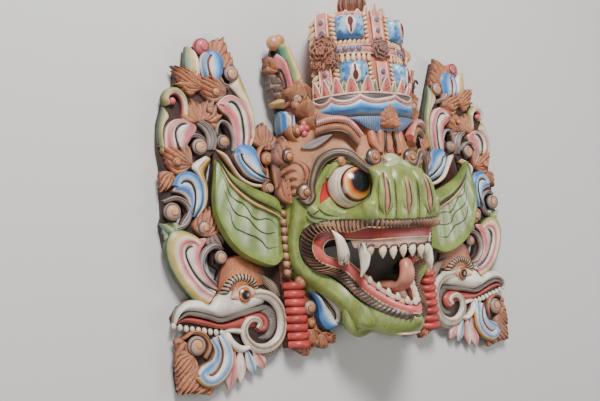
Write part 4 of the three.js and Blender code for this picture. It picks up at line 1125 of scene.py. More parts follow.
def jaw(carving, pair):
    """The lower jaw: rings from the cheeks forward to the chin, with a trough for the tongue."""
    stations = [(10, 54, -164, -232, -196), (30, 54, -163, -236, -196), (50, 53, -161, -238, -197),
        (66, 52, -165, -240, -198), (84, 46, -181, -243, -203), (100, 38, -194, -245, -208),
        (114, 27, -206, -243, -213), (126, 16, -214, -238, -217), (134, 7, -219, -231, -220),
        (138, 2, -222, -226, -222.5)]
    rows = []
    for z, half, lip, bottom, floor in stations:
        drop = lip - bottom
        side = [(0, floor), (half * 0.45, floor), (half * 0.75, (floor + lip) / 2), (half * 0.9, lip),
            (half, lip - 1), (half * 1.12, lip - drop * 0.25), (half * 1.1, lip - drop * 0.5),
            (half * 0.9, lip - drop * 0.78), (half * 0.55, bottom + drop * 0.03), (half * 0.2, bottom),
            (0, bottom)]
        side = smooth_path(side, 30)
        ring = np.vstack([side, side[-2:0:-1] * [-1, 1]])
        rows.append(np.column_stack([ring, np.full(len(ring), float(z))]))
    carving.grid(more_rings(rows, 44), "face_green")
    floor = [[(-44, -176, 62), (-37, -190, 84), (-22, -203, 106), (-6, -211, 124)],
        [(0, -192, 62), (0, -200, 84), (0, -208, 106), (0, -213, 126)],
        [(44, -176, 62), (37, -190, 84), (22, -203, 106), (6, -211, 124)]]
    strap(carving, floor, "gum_paint", thick=3, lift=1, steps=(30, 21), centre=(0, -240, 90))
    # Fold under the chin and the second bump
    cord(pair,
        [(58, -186, 62), (60, -204, 60), (56, -222, 58), (46, -232, 60), (34, -229, 74), (22, -232, 92)],
        [7, 9, 11, 11, 8, 3], "face_green", sides=20, steps=50)
    strap(carving, [both_ways([(0, -236, 120), (12, -236, 116), (20, -236, 108)]),
        both_ways([(0, -241, 124), (13, -242, 118), (20, -240, 110)]),
        both_ways([(0, -242, 116), (12, -241, 112), (20, -239, 106)])], "ring_lobe", thick=3, bulge=1.5,
        steps=(30, 9), centre=(0, -200, 90))


def cheeks(pair):
    """The roll round the comb from the brow to the chin, and the plain wood behind it."""
    crest_in = [(112, -44, 55), (112, -58, 55), (112, -72, 55), (116, -86, 50), (122, -100, 45),
        (123, -114, 44), (118, -131, 44), (103, -147, 47), (82, -157, 53), (68, -170, 61), (60, -185, 72),
        (54, -198, 86), (33, -216, 98)]
    crest_out = [(125, -44, 36), (125, -58, 36), (127, -74, 32), (129, -92, 26), (129, -112, 22),
        (126, -134, 20), (114, -155, 24), (98, -173, 32), (80, -186, 40), (68, -202, 50), (60, -220, 60),
        (50, -232, 78), (26, -230, 92)]
    middle = [(121, -44, 50), (122, -58, 50), (124, -73, 48), (127, -90, 43), (128, -112, 38),
        (124, -134, 38), (110, -153, 42), (90, -167, 48), (76, -180, 54), (66, -196, 64), (60, -210, 74),
        (53, -224, 86), (30, -222, 95)]
    strap(pair, [crest_in, middle, crest_out], "face_green", thick=14, bulge=3.5, steps=(90, 17))
    strap(pair, [[(126, -56, 14), (130, -90, 12), (130, -112, 10), (127, -136, 8), (116, -158, 8),
        (100, -178, 10)], [(125, -58, 36), (129, -92, 26), (129, -112, 22), (126, -134, 20),
        (114, -155, 24), (98, -173, 32)]], "face_green", thick=6, bulge=1, steps=(50, 7))
    strap(pair, [[(137.5, -50, 13), (137.5, -100, 13), (137.5, -160, 13)], [(118, -50, 14), (118, -100, 14),
        (118, -160, 14)]], "carved_wood", thick=12.5, steps=(30, 7), centre=(128, -100, -200))


UPPER_LIP = slice(0, 9)
LOWER_LIP = slice(None, 7, -1)


def lips_and_comb(carving, pair):
    # Comb ground, then a raised bristle at each step
    for part, lift in ((UPPER_LIP, 1.2), (LOWER_LIP, 2.5)):
        strap(carving, [both_ways(COMB_OUT[part]), both_ways(LIP_OUT[part])], "comb_ground", thick=6,
            lift=lift, bulge=1, steps=(200, 7))
    outer = smooth_path(COMB_OUT, 300)
    inner = smooth_path(LIP_OUT, 300)
    aims, points, ups, sizes = [], [], [], []
    walked = 0
    for i in range(299):
        inside = np.linalg.norm(inner[i + 1] - inner[i])
        outside = np.linalg.norm(outer[i + 1] - outer[i])
        walked += inside * 0.5 + outside * 0.5
        if walked < (6.0 if 96 < i < 215 else 5.6):
            continue
        walked = 0
        foot, head = inner[i], outer[max(i - 4, 0)]
        centre = (foot + head) / 2
        run = head - foot
        out = np.cross(inner[min(i + 3, 299)] - inner[max(i - 3, 0)], run)
        out /= np.linalg.norm(out)
        if np.dot(out, centre - np.array([0, -110, 30])) < 0:
            out = -out
        points.append(centre + out * 3.0)
        aims.append(run)
        ups.append(out)
        sizes.append(np.linalg.norm(run))
    bristles(points, aims, ups, sizes)
    for part, paint, lift, bulge in ((UPPER_LIP, "lip_dark", 1.5, -1.0), (LOWER_LIP, "lip_red", 2, 2.0)):
        strap(carving, [both_ways(LIP_OUT[part]), both_ways(LIP_IN[part])], paint, thick=7, lift=lift,
            bulge=bulge, steps=(200, 11))
    for line, width in ((LIP_OUT, 1.0), (LIP_IN, 0.7)):
        cord(carving, [(x, y, z + 2.4) for x, y, z in both_ways(line)], width, "cream_line", sides=8,
            steps=200)
    # Gums, roof of the mouth, and dark sheets of painted shadow behind the corners
    gum_up = [(0, -111, 124), (24, -111, 123), (44, -111, 117), (56, -111, 103), (64, -110, 86)]
    gum_down = [(0, -124, 121), (24, -124, 120), (42, -123, 114), (54, -122, 102), (62, -120, 88)]
    strap(carving, [both_ways(gum_up), both_ways(gum_down)], "gum_paint", thick=6, lift=1, bulge=1.0,
        steps=(120, 9))
    low_up = [(0, -199, 130), (11, -196, 121), (22, -186, 107), (32, -173, 91), (38, -160, 79),
        (44, -148, 69)]
    low_down = [(0, -207, 128), (11, -206, 118), (22, -198, 104), (32, -186, 88), (38, -174, 76),
        (44, -162, 66)]
    strap(carving, [both_ways(low_up), both_ways(low_down)], "gum_paint", thick=4, lift=1.5, bulge=1.0,
        steps=(120, 9))
    strap(pair, [[(60, -108, 96), (72, -108, 78), (84, -110, 60), (90, -118, 50)],
        [(54, -112, 60), (62, -114, 48), (74, -116, 38), (84, -120, 34)]], "mouth_dark", thick=3, lift=0,
        steps=(24, 9))
    strap(pair, [[(46, -152, 66), (56, -140, 60), (72, -134, 54), (88, -124, 48)],
        [(44, -160, 44), (52, -150, 36), (68, -142, 34), (84, -128, 32)]], "mouth_dark", thick=3, lift=0,
        steps=(24, 9))


def teeth(carving):
    for x, y, z, length in ((12, -122, 122.5, 17), (29, -123, 121, 17), (44, -122, 117, 16),
            (55, -121, 106, 12), (-5, -122, 123, 17), (-22, -123, 122, 17), (-38, -122, 119, 16),
            (-52, -121, 110, 13)):
        tooth(carving, (x, y, z), (x, y - length, z - 2), 6.2, 3.2)
    for x, y, z in ((0, -199, 130), (9, -197, 125), (17, -191, 115), (24, -184, 105), (31, -175, 94),
            (37, -166, 84), (-9, -197, 125), (-17, -191, 115), (-24, -184, 105), (-31, -175, 94),
            (-37, -166, 84)):
        tooth(carving, (x, y - 4, z), (x, y + 6, z + 1), 4.6, 2.6)


def tooth(carving, root, tip, half, edge):
    """A pointed tooth with a dark line round its root."""
    root, tip = np.array(root, float), np.array(tip, float)
    cord(carving, [root, root * 0.6 + tip * 0.4, root * 0.25 + tip * 0.75, tip],
        [half * 0.8, half, half * 0.72, 0.5], "tooth_cream", sides=14, steps=14, level=(0, 0, 1),
        flatten=0.7)
    rim = root + (tip - root) * 0.08
    angles = np.linspace(0, np.pi, 9)
    side = np.array([1, 0, 0])
    run = (tip - root) / np.linalg.norm(tip - root)
    cord(carving, [rim + side * math.cos(a) * (half + 0.5) - run * math.sin(a) * edge
        + np.array([0, 0, half * 0.55]) * (0.4 + 0.6 * math.sin(a)) for a in angles], 0.9, "line_dark",
        sides=6, steps=20)


def bristle_shape():
    """One carved bristle: a low bent ridge a unit long."""
    rows = []
    for i in range(7):
        t = i / 6 - 0.5
        width = 0.9 * (1 - (2 * t) ** 4) + 0.25
        bend = 0.10 * (1 - (2 * t) ** 2)
        rows.append([(t, bend + side * width * 0.1, height) for side,
            height in ((-1, -0.9), (-0.8, 0.1), (0, 0.9), (0.8, 0.1), (1, -0.9))])
    return shape_of("bristle", rows)


def shape_of(name, rows):
    """A small closed shape over rows of points, to be set many times."""
    mesh = bpy.data.meshes.new(name)
    work = bmesh.new()
    rows = [[work.verts.new(point) for point in row] for row in rows]
    for a, b in zip(rows, rows[1:]):
        for j in range(len(a)):
            k = (j + 1) % len(a)
            work.faces.new((a[j], a[k], b[k], b[j]))
    work.faces.new(rows[0])
    work.faces.new(rows[-1][::-1])
    bmesh.ops.recalc_face_normals(work, faces=work.faces)
    work.to_mesh(mesh)
    work.free()
    mesh.shade_smooth()
    shape = bpy.data.objects.new(name, mesh)
    bpy.context.collection.objects.link(shape)
    return shape


def scatter_tree():
    """Geometry nodes: set a shape on each point, turned by the point's own aim and up, and sized."""
    tree = bpy.data.node_groups.new("set_on_points", "GeometryNodeTree")
    tree.is_modifier = True
    for name, kind in (("Points", "NodeSocketGeometry"), ("Shape", "NodeSocketObject"),
            ("Finish", "NodeSocketMaterial"), ("Seed", "NodeSocketInt"), ("Play", "NodeSocketFloat")):
        tree.interface.new_socket(name, in_out="INPUT", socket_type=kind)
    tree.interface.new_socket("Pieces", in_out="OUTPUT", socket_type="NodeSocketGeometry")
    nodes, links = tree.nodes, tree.links

    def add(kind, **settings):
        made = nodes.new(kind)
        for key, value in settings.items():
            setattr(made, key, value)
        return made

    def stored(name, kind):
        made = add("GeometryNodeInputNamedAttribute", data_type=kind)
        made.inputs["Name"].default_value = name
        return made.outputs["Attribute"]

    entry = add("NodeGroupInput")
    first = add("FunctionNodeAlignRotationToVector", axis="Z")
    links.new(stored("up", "FLOAT_VECTOR"), first.inputs["Vector"])
    second = add("FunctionNodeAlignRotationToVector", axis="X", pivot_axis="Z")
    links.new(first.outputs[0], second.inputs["Rotation"])
    links.new(stored("aim", "FLOAT_VECTOR"), second.inputs["Vector"])
    play = add("FunctionNodeRandomValue", data_type="FLOAT")
    links.new(entry.outputs["Seed"], play.inputs["Seed"])
    low = add("ShaderNodeMath", operation="SUBTRACT")
    low.inputs[0].default_value = 1
    links.new(entry.outputs["Play"], low.inputs[1])
    links.new(low.outputs[0], play.inputs[2])
    play.inputs[3].default_value = 1
    scaled = add("ShaderNodeVectorMath", operation="SCALE")
    links.new(stored("size", "FLOAT_VECTOR"), scaled.inputs[0])
    links.new(play.outputs[1], scaled.inputs["Scale"])
    shape = add("GeometryNodeObjectInfo", transform_space="ORIGINAL")
    links.new(entry.outputs["Shape"], shape.inputs["Object"])
    put = add("GeometryNodeInstanceOnPoints")
    links.new(entry.outputs["Points"], put.inputs["Points"])
    links.new(shape.outputs["Geometry"], put.inputs["Instance"])
    links.new(second.outputs[0], put.inputs["Rotation"])
    links.new(scaled.outputs[0], put.inputs["Scale"])
    real = add("GeometryNodeRealizeInstances")
    links.new(put.outputs[0], real.inputs[0])
    finish = add("GeometryNodeSetMaterial")
    links.new(real.outputs[0], finish.inputs["Geometry"])
    links.new(entry.outputs["Finish"], finish.inputs["Material"])
    leave = add("NodeGroupOutput")
    links.new(finish.outputs[0], leave.inputs[0])
    return tree


SCATTER = scatter_tree()


def set_on_points(name, shape, points, aims, ups, sizes, paint, seed=3, play=0.12):
    """A repeated carved detail as one piece, made by the geometry node tree."""
    mesh = bpy.data.meshes.new(name)
    mesh.from_pydata([tuple((np.asarray(p) + [0, LIFT, 0]) * MM) for p in points], [], [])
    for key, values in (("aim", aims), ("up", ups), ("size", np.asarray(sizes) * MM)):
        layer = mesh.attributes.new(key, "FLOAT_VECTOR", "POINT")
        layer.data.foreach_set("vector", np.asarray(values, float).ravel())
    holder = bpy.data.objects.new(name, mesh)
    bpy.context.collection.objects.link(holder)
    modifier = holder.modifiers.new("set", "NODES")
    modifier.node_group = SCATTER
    values = {"Shape": shape, "Finish": paint_of(paint), "Seed": seed, "Play": play}
    for item in SCATTER.interface.items_tree:
        if item.in_out == "INPUT" and item.name in values:
            modifier[item.identifier] = values[item.name]
    graph = bpy.context.evaluated_depsgraph_get()
    made = bpy.data.meshes.new_from_object(holder.evaluated_get(graph))
    made.name = name
    holder.modifiers.clear()
    holder.data = made
    made.shade_smooth()
    made.set_sharp_from_angle(angle=SHARP)
    return holder


HEAD_PIECES = []


def bristles(points, aims, ups, sizes):
    """The comb's bristles, on the right and, mirrored, on the left."""
    shape = bristle_shape()
    widths = [(size, 15.0, 5.0) for size in sizes]
    for side, turn in (("right", (1, 1, 1)), ("left", (-1, 1, 1))):
        HEAD_PIECES.append(set_on_points(f"comb_{side}", shape, np.array(points) * turn,
            np.array(aims) * turn, np.array(ups) * turn, widths, "bristle_paint"))
    bpy.data.objects.remove(shape)


def snout_details(pair, carving):
    """Nostril slits, edge rolls and the bump between the brows."""
    for x in (-38, 0, 38):
        turn = -1 if x < 0 else 1
        lean = 3 * turn if x else 0
        path = [(x - lean, -22 if x else -20, 131), (x - lean * 0.5, -34, 137), (x, -50, 139),
                (x + lean * 0.3, -66, 138), (x + lean, -80, 136)]
        cord(carving, [(a, b, c - 1.2) for a, b, c in path], [0.6, 2.6, 3.4, 4.0, 1.4], "slit_tan",
            sides=12, steps=36)
        for edge in (-1, 1):
            line = [(a + edge * aside, b, c + up) for (a, b, c), aside, up in
                    zip(path, (0, 3.2, 4.2, 4.6, 0), (0, 0, 0.3, 0.2, 0))]
            cord(carving, line, [0.4, 0.9, 1.1, 1.1, 0.5], "line_dark", sides=8, steps=36)
            roll = [(a + edge * aside, b, c - 2.0) for (a, b, c), aside in zip(line, (1, 3.5, 3.5, 3.5, 1))]
            cord(carving, roll, [1, 3.6, 4.2, 4.2, 1.2], "face_green", sides=12, steps=36)
    cord(pair, [(19, -26, 133), (20.5, -40, 137), (21, -56, 137.5), (21, -72, 136), (22, -84, 133.5)],
        [0.3, 0.8, 0.8, 0.4], "green_dark", sides=6, steps=30)
    knob(carving, 0, -8, 108, 17, "bridge_green", squash=0.8, direction=(0, 0.3, 1), rows=13, sides=28)
    cord(pair, [(4, -8, 122), (18, -14, 121), (30, -22, 116), (36, -30, 110)], [6, 6, 5, 2], "bridge_green",
        sides=14)


def ornament(carving, pair):
    """The carved leaf over the brow, split into three prongs."""
    for x, spread in ((-13, -5), (0, 0), (13, 5)):
        cord(carving, [(x * 0.3, 62, 103), (x * 0.8, 48, 105), (x, 32, 107), (x + spread * 0.5, 16, 109),
            (x + spread, 8, 110)], [5, 6.5, 7.2, 6.5, 4], "prong_tan", sides=16, steps=30, flatten=0.9)
    for x in (-7, 7):
        cord(carving, [(x * 0.6, 50, 109), (x, 36, 111.5), (x * 1.3, 20, 113), (x * 1.4, 10, 113)],
            [0.5, 1.8, 2.2, 1.0], "groove_black", sides=8, steps=24)
    cord(pair, [(24, 56, 99), (25, 40, 102), (24, 24, 105), (19, 10, 110)], [3, 6, 6.5, 3], "rose_wood",
        sides=14)
    for i, (reach, half) in enumerate(((81, 10), (73, 12), (66, 13))):
        patra(carving, (0, 50 - 4 * i), (0, reach - 4 * i), half, fingers=7, top=123 + 2.0 * i, bottom=98)
    knob(carving, 0, 12, 110, 6, "rose_paint", squash=0.7)


def temples(pair):
    """Brown carved columns with volutes, the bead column and the leaf work beside the brows."""
    patra(pair, (122, 0), (126, 44), 15, fingers=7, top=42, bottom=20)
    patra(pair, (126, -52), (128, -8), 11, fingers=5, top=42, bottom=24)
    knob(pair, 125, 13, 42, 8, "wood_ball", squash=0.7)
    knob(pair, 123, 14, 40, 12, "brow_volute", squash=0.5)
    cord(pair, [(133, 34, 20), (134, 4, 22), (133, -28, 24), (132, -56, 24)], [5, 7, 7, 5], "carved_wood",
        sides=12, steps=40)
    for i in range(5):
        cord(pair,
            [(117, 3 - 11 * i, 47), (124, 5 - 11 * i, 42), (131, 1 - 11 * i, 34), (134, -4 - 11 * i, 28)],
            [0.6, 2.0, 2.0, 0.6], "carved_wood", sides=8, steps=16)
    for i in range(8):
        y = -64 - 11.6 * i
        knob(pair, 132, y, 24, 6.6, "bead_wood", squash=0.9, direction=(0.5, 0, 1), rows=9, sides=16)
        cord(pair, [(128, y - 5.8, 26), (132, y - 5.8, 29), (136, y - 5.8, 26)], [1.2, 2.2, 1.2],
            "bead_wood", sides=8, steps=8)


COMMA_OUT = [(100, -171), (94, -184), (90, -201), (89, -215), (81, -227), (71, -230), (59, -226),
    (57, -220)]
COMMA_CUT = [(96, -173), (84, -185), (73, -198), (68, -205), (66, -212), (68, -216), (71, -216), (74, -212)]
COMMA_EDGE = [(97, -170), (77, -175), (60, -187), (52, -199), (52, -212), (55, -221), (61, -223),
    (68, -219)]


def foliage(pair):
    """Ribbed red strip, volutes, a blue comma and leaves at the foot of the head."""
    strap(pair, [[(137, -150, 14), (137, -248, 14)], [(112, -160, 18), (110, -252, 18)],
        [(84, -170, 18), (84, -250, 18)], [(56, -186, 16), (64, -244, 16)]], "carved_wood", thick=13,
        steps=(20, 9), centre=(90, -200, -200))
    for i in range(8):
        y = -164 - 11.4 * i
        inner = 110 - 2.2 * max(0, i - 5)
        cord(pair, [(inner, y + 1, 24), (118, y - 1, 31), (129, y, 31), (138, y + 1, 22)],
            [4.6, 5.8, 5.8, 4.6], "rib_red", sides=12, steps=14)
        cord(pair, [(inner, y - 5.0, 26), (118, y - 6.6, 32.5), (129, y - 5.7, 32.5), (138, y - 4.7, 25)],
             [0.3, 0.8, 0.8, 0.3], "line_dark", sides=6, steps=12)
    knob(pair, 117, -160, 30, 9.5, "wood_ball", squash=0.8)
    knob(pair, 103, -196, 26, 11, "volute_ball", squash=0.7)
    knob(pair, 100, -217, 24, 7.5, "wood_ball", squash=0.7)
    ribbon(pair, COMMA_OUT, COMMA_CUT, "foot_blue", top=38, steps=44, across=17, dome=0.3)
    ribbon(pair, COMMA_CUT, COMMA_EDGE, "foot_lobe", top=38, steps=44, across=15, dome=0.3)
    incision(pair, COMMA_CUT, width=1.3, top=36)
    for foot, tip, half in (((104, -206), (102, -184), 8), ((100, -226), (98, -252), 12),
            ((84, -234), (76, -256), 11), ((116, -240), (108, -262), 8), ((70, -238), (62, -250), 6)):
        patra(pair, foot, tip, half, fingers=5, top=30, bottom=8)


def dashes(light, dark, count):
    """A row of raised strokes, pale over dark, that fades out towards its first edge."""
    def build(name):
        shade = Shade(name)
        along, across = shade.band()
        wave = (along * count).waves()
        edge = across.between(0.1, 0.45)
        colour = shade.blend(wave.between(0.1, 0.3) * edge, linear(dark), linear(light))
        made = aged(shade, colour)
        shade.tree.links.new(shade.bump(wave, 0.8, 0.0015).socket, shade.surface.inputs["Normal"])
        return made
    return build


def face_paint(code, pale, deep):
    """Green paint brushed with fine strokes, with painted light that makes it paler on the swells and
    painted shade that leaves it darker in the folds.
    """
    def build(name):
        shade = Shade(name)
        # Painted light and shade: the more pointed the surface, the paler the green, so swells look lit and
        # folds shaded.
        pointedness = shade.node("ShaderNodeNewGeometry", {}, {}, 7)
        swell = pointedness.between(0.44, 0.6)
        cloud = shade.noise(24.0, 3.0).between(0.38, 0.72)
        stretched = shade.node("ShaderNodeMapping", {},
            {"Vector": shade.object, "Scale": (260.0, 60.0, 160.0)})
        stroke = shade.noise(1.6, 3.0, 0.6, where=stretched)
        base = shade.blend(cloud * 0.55, linear(code), linear(deep))
        light = shade.blend(swell * 0.30 + cloud * 0.12, base, linear(pale))
        combed = shade.blend((1 - stroke.between(0.3, 0.46)) * 0.35, light, linear(pale))
        brushed = shade.blend(stroke.between(0.52, 0.7) * 0.45, combed, linear(deep))
        return aged(shade, brushed, gloss=0.36, wear=0.2, coat=0.3)
    return build


PAINTS.update({
    "face_green": face_paint("8d9a4e", "b3bd84", "5f7038"),
    "bridge_green": face_paint("b3bf8c", "d9dfc4", "8d9a58"),
    "green_dark": plain_paint("4d5530", "3a3f28"),
    "forehead_tan": plain_paint("c28e6c", "b67c5c", wear=0.15),
    "rose_wood": plain_paint("cc7a68", "bd8464"),
    "prong_tan": plain_paint("c88f6b", "b47456"),
    "slit_tan": plain_paint("c79070", "a3705a"),
    "bare_inside": plain_paint("4a3226", "38251d", gloss=0.7, coat=0.0),
    # Painted shadow behind the mouth's corners.
    "mouth_dark": plain_paint("3a2422", "241818", gloss=0.6, coat=0.0),
    "eye_paint": ringed([(0.0, "14151b"), (0.262, "1a1c24"), (0.275, "6e2a1e"), (0.3, "c25a30"),
        (0.33, "e39a48"), (0.36, "eab872"), (0.382, "f2d2a0"), (0.4, "d98a5c"), (0.418, "b0563a"),
        (0.43, "2c2624"), (0.462, "2c2624"), (0.475, "efdfc8"), (0.51, "ecd2bc"), (0.52, "c98a74"),
        (0.532, "efdccb"), (0.75, "eed9c8"), (0.9, "dfb9a4"), (1.0, "b0705c")], gloss=0.16, coat=0.9,
        wear=0.0),
    "corner_red": plain_paint("b9382c", "a03028", gloss=0.35),
    "line_red": plain_paint("93443a", "a5564a"),
    # Light in the middle and darkening towards the rim, as painted shade between the beads.
    "bead_wood": ringed([(0.0, "c9a07e"), (0.4, "a87a5c"), (0.8, "6e4a3c"), (1.0, "3c2822")], gloss=0.45,
        coat=0.1),
    "cloud_low": hatched("5f8fc0", "6b6562", count=60.0),
    "foot_blue": banded([(0.0, "5f8fc4"), (0.18, "5488c0"), (0.34, "8db4dc"), (0.46, "ece8e2"),
        (1.0, "f6f0e8")]),
    "foot_lobe": banded([(0.0, "f6f0e8"), (0.5, "f3ddd0"), (0.72, "8fb2d8"), (1.0, "5a8ac2")]),
    "line_dark": plain_paint("2e2623", "473833"),
    "cream_line": plain_paint("e3cfa8", "cfae86"),
    "brow_paint": banded([(0.0, "b99a78"), (0.1, "3a3432"), (0.36, "5a524f"), (0.45, "b79878"),
        (0.55, "b79878"), (0.64, "5c5451"), (0.86, "3c3634"), (0.93, "c49a78"), (1.0, "a87a5c")]),
    "brow_volute": ringed([(0.0, "c49272"), (0.4, "a87c60"), (0.6, "4a4240"), (1.0, "322c2b")]),
    "lip_dark": banded([(0.0, "8e3833"), (0.35, "96403a"), (0.7, "a34a43"), (1.0, "7c302c")]),
    "lip_red": banded([(0.0, "b9605a"), (0.3, "cc605c"), (0.7, "d4726c"), (1.0, "a84844")]),
    "gum_paint": plain_paint("ecc9b8", "dfa898"),
    "comb_ground": plain_paint("2e2826", "3f3734"),
    "bristle_paint": plain_paint("bd957a", "7a6256", wear=0.1),
    "tooth_cream": plain_paint("f4ead4", "e6d2b0", wear=0.05),
    "rope_pink": dashes("ecc2b2", "cf7d75", 26),
    "ribbed_wood": dashes("c08a68", "8c5740", 30),
    "rib_red": plain_paint("c2544c", "a8443e"),
    "ring_lobe": banded([(0.0, "c86a58"), (0.4, "efd9c0"), (0.6, "e9c9ae"), (1.0, "a85a48")]),
})


def make_head():
    carving = Carving()
    pair = Pair(carving)
    upper_face(carving)
    eye_and_lids(pair)
    brows(pair)
    jaw(carving, pair)
    cheeks(pair)
    lips_and_comb(carving, pair)
    teeth(carving)
    snout_details(pair, carving)
    HEAD_PIECES.append(carving.object("face_block"))
    carving = Carving()
    pair = Pair(carving)
    ornament(carving, pair)
    temples(pair)
    foliage(pair)
    HEAD_PIECES.append(carving.object("head_foliage"))
    for piece in HEAD_PIECES:
        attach(piece, "root")
        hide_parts("head")


make_head()


# Crown
# A tall carved crown of one block, seated on the brow: a cloud border, a collar of petals, two rows of
# blue bosses with keyholes, jewelled bands with rope edging, carved rosettes and a flame on top.

UPRIGHT = np.array([0.0, 1.0, 0.0])
CROWN_SIDE = 1.16
BOSS_ANGLE = 0.46
BOSS_LEVELS = (122, 188)


def crown_point(angle, level, out=0.0):
    """A point on the crown's wall: a squarish oval that draws in a little towards the top."""
    share = np.clip((level - 98) / 116, 0, 1)
    c, s = math.cos(angle), math.sin(angle)
    x = math.copysign(abs(s) ** 0.77, s) * (79 - 4 * share + out)
    z = math.copysign(abs(c) ** 0.77, c) * (108 - 4 * share + out)
    return np.array([x, level, z])


def crown_out(angle):
    """The way the crown's wall faces there."""
    c, s = math.cos(angle), math.sin(angle)
    direction = np.array([math.copysign(abs(s) ** 1.23, s) / 77, 0, math.copysign(abs(c) ** 1.23, c) / 106])
    return direction / np.linalg.norm(direction)


def crown_wall(carving):
    rows = []
    for level, out in ((60.4, -4), (68, 2), (82, 4), (94, 0), (102, 0), (150, 0), (192, 0), (204, -1),
            (211, -4), (216, -12), (219, -26)):
        angles = np.linspace(-CROWN_SIDE, CROWN_SIDE, 61)
        front = [crown_point(a, level, out) for a in angles]
        grow = np.clip(out, -10, 3)
        behind = [(66 + grow, 38), (56 + grow, 22), (46 + grow, 8), (42 + grow, 0.5)]
        back = [(x, level, z) for x, z in behind]
        back += [(x, level, 0.5) for x in (20, 0, -20)]
        back += [(-x, level, z) for x, z in behind[::-1]]
        rows.append(np.vstack([front, back]))
    rings = more_rings(rows, 50)
    rings[..., 2] = np.maximum(rings[..., 2], 0.3)
    rings[..., 1] = np.maximum(rings[..., 1], 60.2)
    carving.grid(rings, "crown_rose")


def cloud_border(carving):
    """The blue scalloped border at the foot, its white edge, and dark grey sheets of painted shadow in the
    gaps above it.
    """
    angles = np.linspace(-1.2, 1.2, 97)
    cusps = (-1.2, -0.9, -0.42, 0.08, 0.56, 0.98)
    top, lip, bottom, foot = [], [], [], []
    for a in angles:
        span = min(max(np.searchsorted(cusps, a) - 1, 0), len(cusps) - 2)
        share = np.clip((a - cusps[span]) / (cusps[span + 1] - cusps[span]), 0, 1)
        sag = math.sin(math.pi * share) ** 0.75
        top.append(crown_point(a, 88 - 7.5 * sag, 9))
        lip.append(crown_point(a, 75 - 4 * sag, 10.5))
        bottom.append(crown_point(a, 66, 7))
        foot.append(crown_point(a, 60.5, 3))
    front = more_rings([top, lip, bottom, foot], 13).transpose(1, 0, 2)
    outs = np.array([crown_out(a) for a in angles])[:, None, :]
    back = front - outs * 11
    v = np.linspace(0, 1, 13)
    carving.grid(np.concatenate([front, back[:, ::-1]], axis=1), "cloud_blue",
        across=np.concatenate([v, v[::-1]]))
    cord(carving, [t + crown_out(a) * 0.4 + UPRIGHT * 0.5 for t, a in zip(top, angles)], 2.1, "cream_pink",
        sides=10, steps=240)
    cord(carving, [t + crown_out(a) * 0.9 - UPRIGHT * 3.6 for t, a in zip(top, angles)], 1.0, "rose_line",
        sides=8, steps=240)
    # Painted shadow: dark grey sheets fill the gaps between the scallops and the collar.
    for left, right in zip(cusps, cusps[1:]):
        span = np.linspace(left + 0.03, right - 0.03, 19)
        upper = [crown_point(a, 90.5, 9) for a in span]
        sags = [math.sin(math.pi * (a - left) / (right - left)) ** 0.6 for a in span]
        lower = [crown_point(a, 88.5 - 8.5 * sag, 9.5) for a, sag in zip(span, sags)]
        strap(carving, [upper, lower], "grey_gap", thick=8, lift=0, bulge=1.0, steps=(40, 7),
            centre=(0, 85, 0))
    cord(carving, [crown_point(a, 91.5, 9.5) for a in angles], 1.5, "cream_pink", sides=10, steps=120)


def boss(carving, angle, level, keyhole_up):
    """A blue boss with a keyhole in a pale halo."""
    centre = crown_point(angle, level, -5)
    out = crown_out(angle)
    side = np.cross(UPRIGHT, out)
    rows = []
    for p, push in ((0.04, 18.5), (0.25, 18.2), (0.5, 17.2), (0.75, 14.0), (0.92, 8), (1.0, 1), (1.0, -6)):
        ring = []
        for t in np.linspace(0, 2 * math.pi, 48, endpoint=False):
            c, s = math.cos(t), math.sin(t)
            shape = (abs(c) ** 4.4 + abs(s) ** 4.4) ** -0.227
            ring.append(centre + side * c * shape * 21.5 * p + UPRIGHT * s * shape * 19 * p + out * push)
        rows.append(ring)
    start = len(carving.uvs)
    carving.grid(more_rings(rows, 26), "boss_blue")
    middle_out(carving, start, (0, 1))
    turn = 1 if keyhole_up else -1

    def raised(points, scale, push):
        return [centre + p * scale + out * (push - 0.014 * np.dot(p * scale, p * scale)) for p in points]

    halo, hole = [], []
    for t in np.linspace(0, 2 * math.pi, 40, endpoint=False):
        s, c = math.sin(t), math.cos(t)
        halo.append(side * c * 7.6 * (1 + 0.34 * turn * s) + UPRIGHT * (s * 14 + turn))
        head_width = 3.9 * math.sqrt(max(0, 1 - ((turn * s - 0.42) / 0.58) ** 2))
        width = max(head_width, 1.3 if turn * s < 0.3 else 0.2)
        hole.append(side * math.copysign(width, c) + UPRIGHT * (s * 11 + turn))
    carving.grid(np.array([raised(halo, 1.0, 16), raised(halo, 1.0, 19.2), raised(halo, 0.93, 20.2),
        raised(halo, 0.6, 20.0), raised(halo, 0.05, 19.4)]), "halo_white")
    carving.grid(np.array([raised(hole, 1.0, 18.5), raised(hole, 1.0, 20.7), raised(hole, 0.6, 20.8),
        raised(hole, 0.05, 20.7)]), "keyhole_red")
    for k, (sx, sy, w) in enumerate(((-13, 11, 4.5), (-15, 2, 4), (-12, -9, 4.5), (13, 12, 4), (14, -3, 4),
            (-4, 15, 4), (9, -15, 4), (5, 15, 3))):
        curl = []
        for t in np.linspace(0, 4.4, 12):
            r = w * (1 - t / 6)
            p = side * (sx + r * math.cos(t + k)) + UPRIGHT * (sy + r * 0.7 * math.sin(t + k))
            curl.append(centre + p + out * (19.2 - 0.014 * np.dot(p, p) - 4 * max(0, abs(sx) / 21.5 - 0.5)))
        cord(carving, curl, [0.2, 0.6, 0.5, 0.2], "curl_line", sides=6, steps=20)


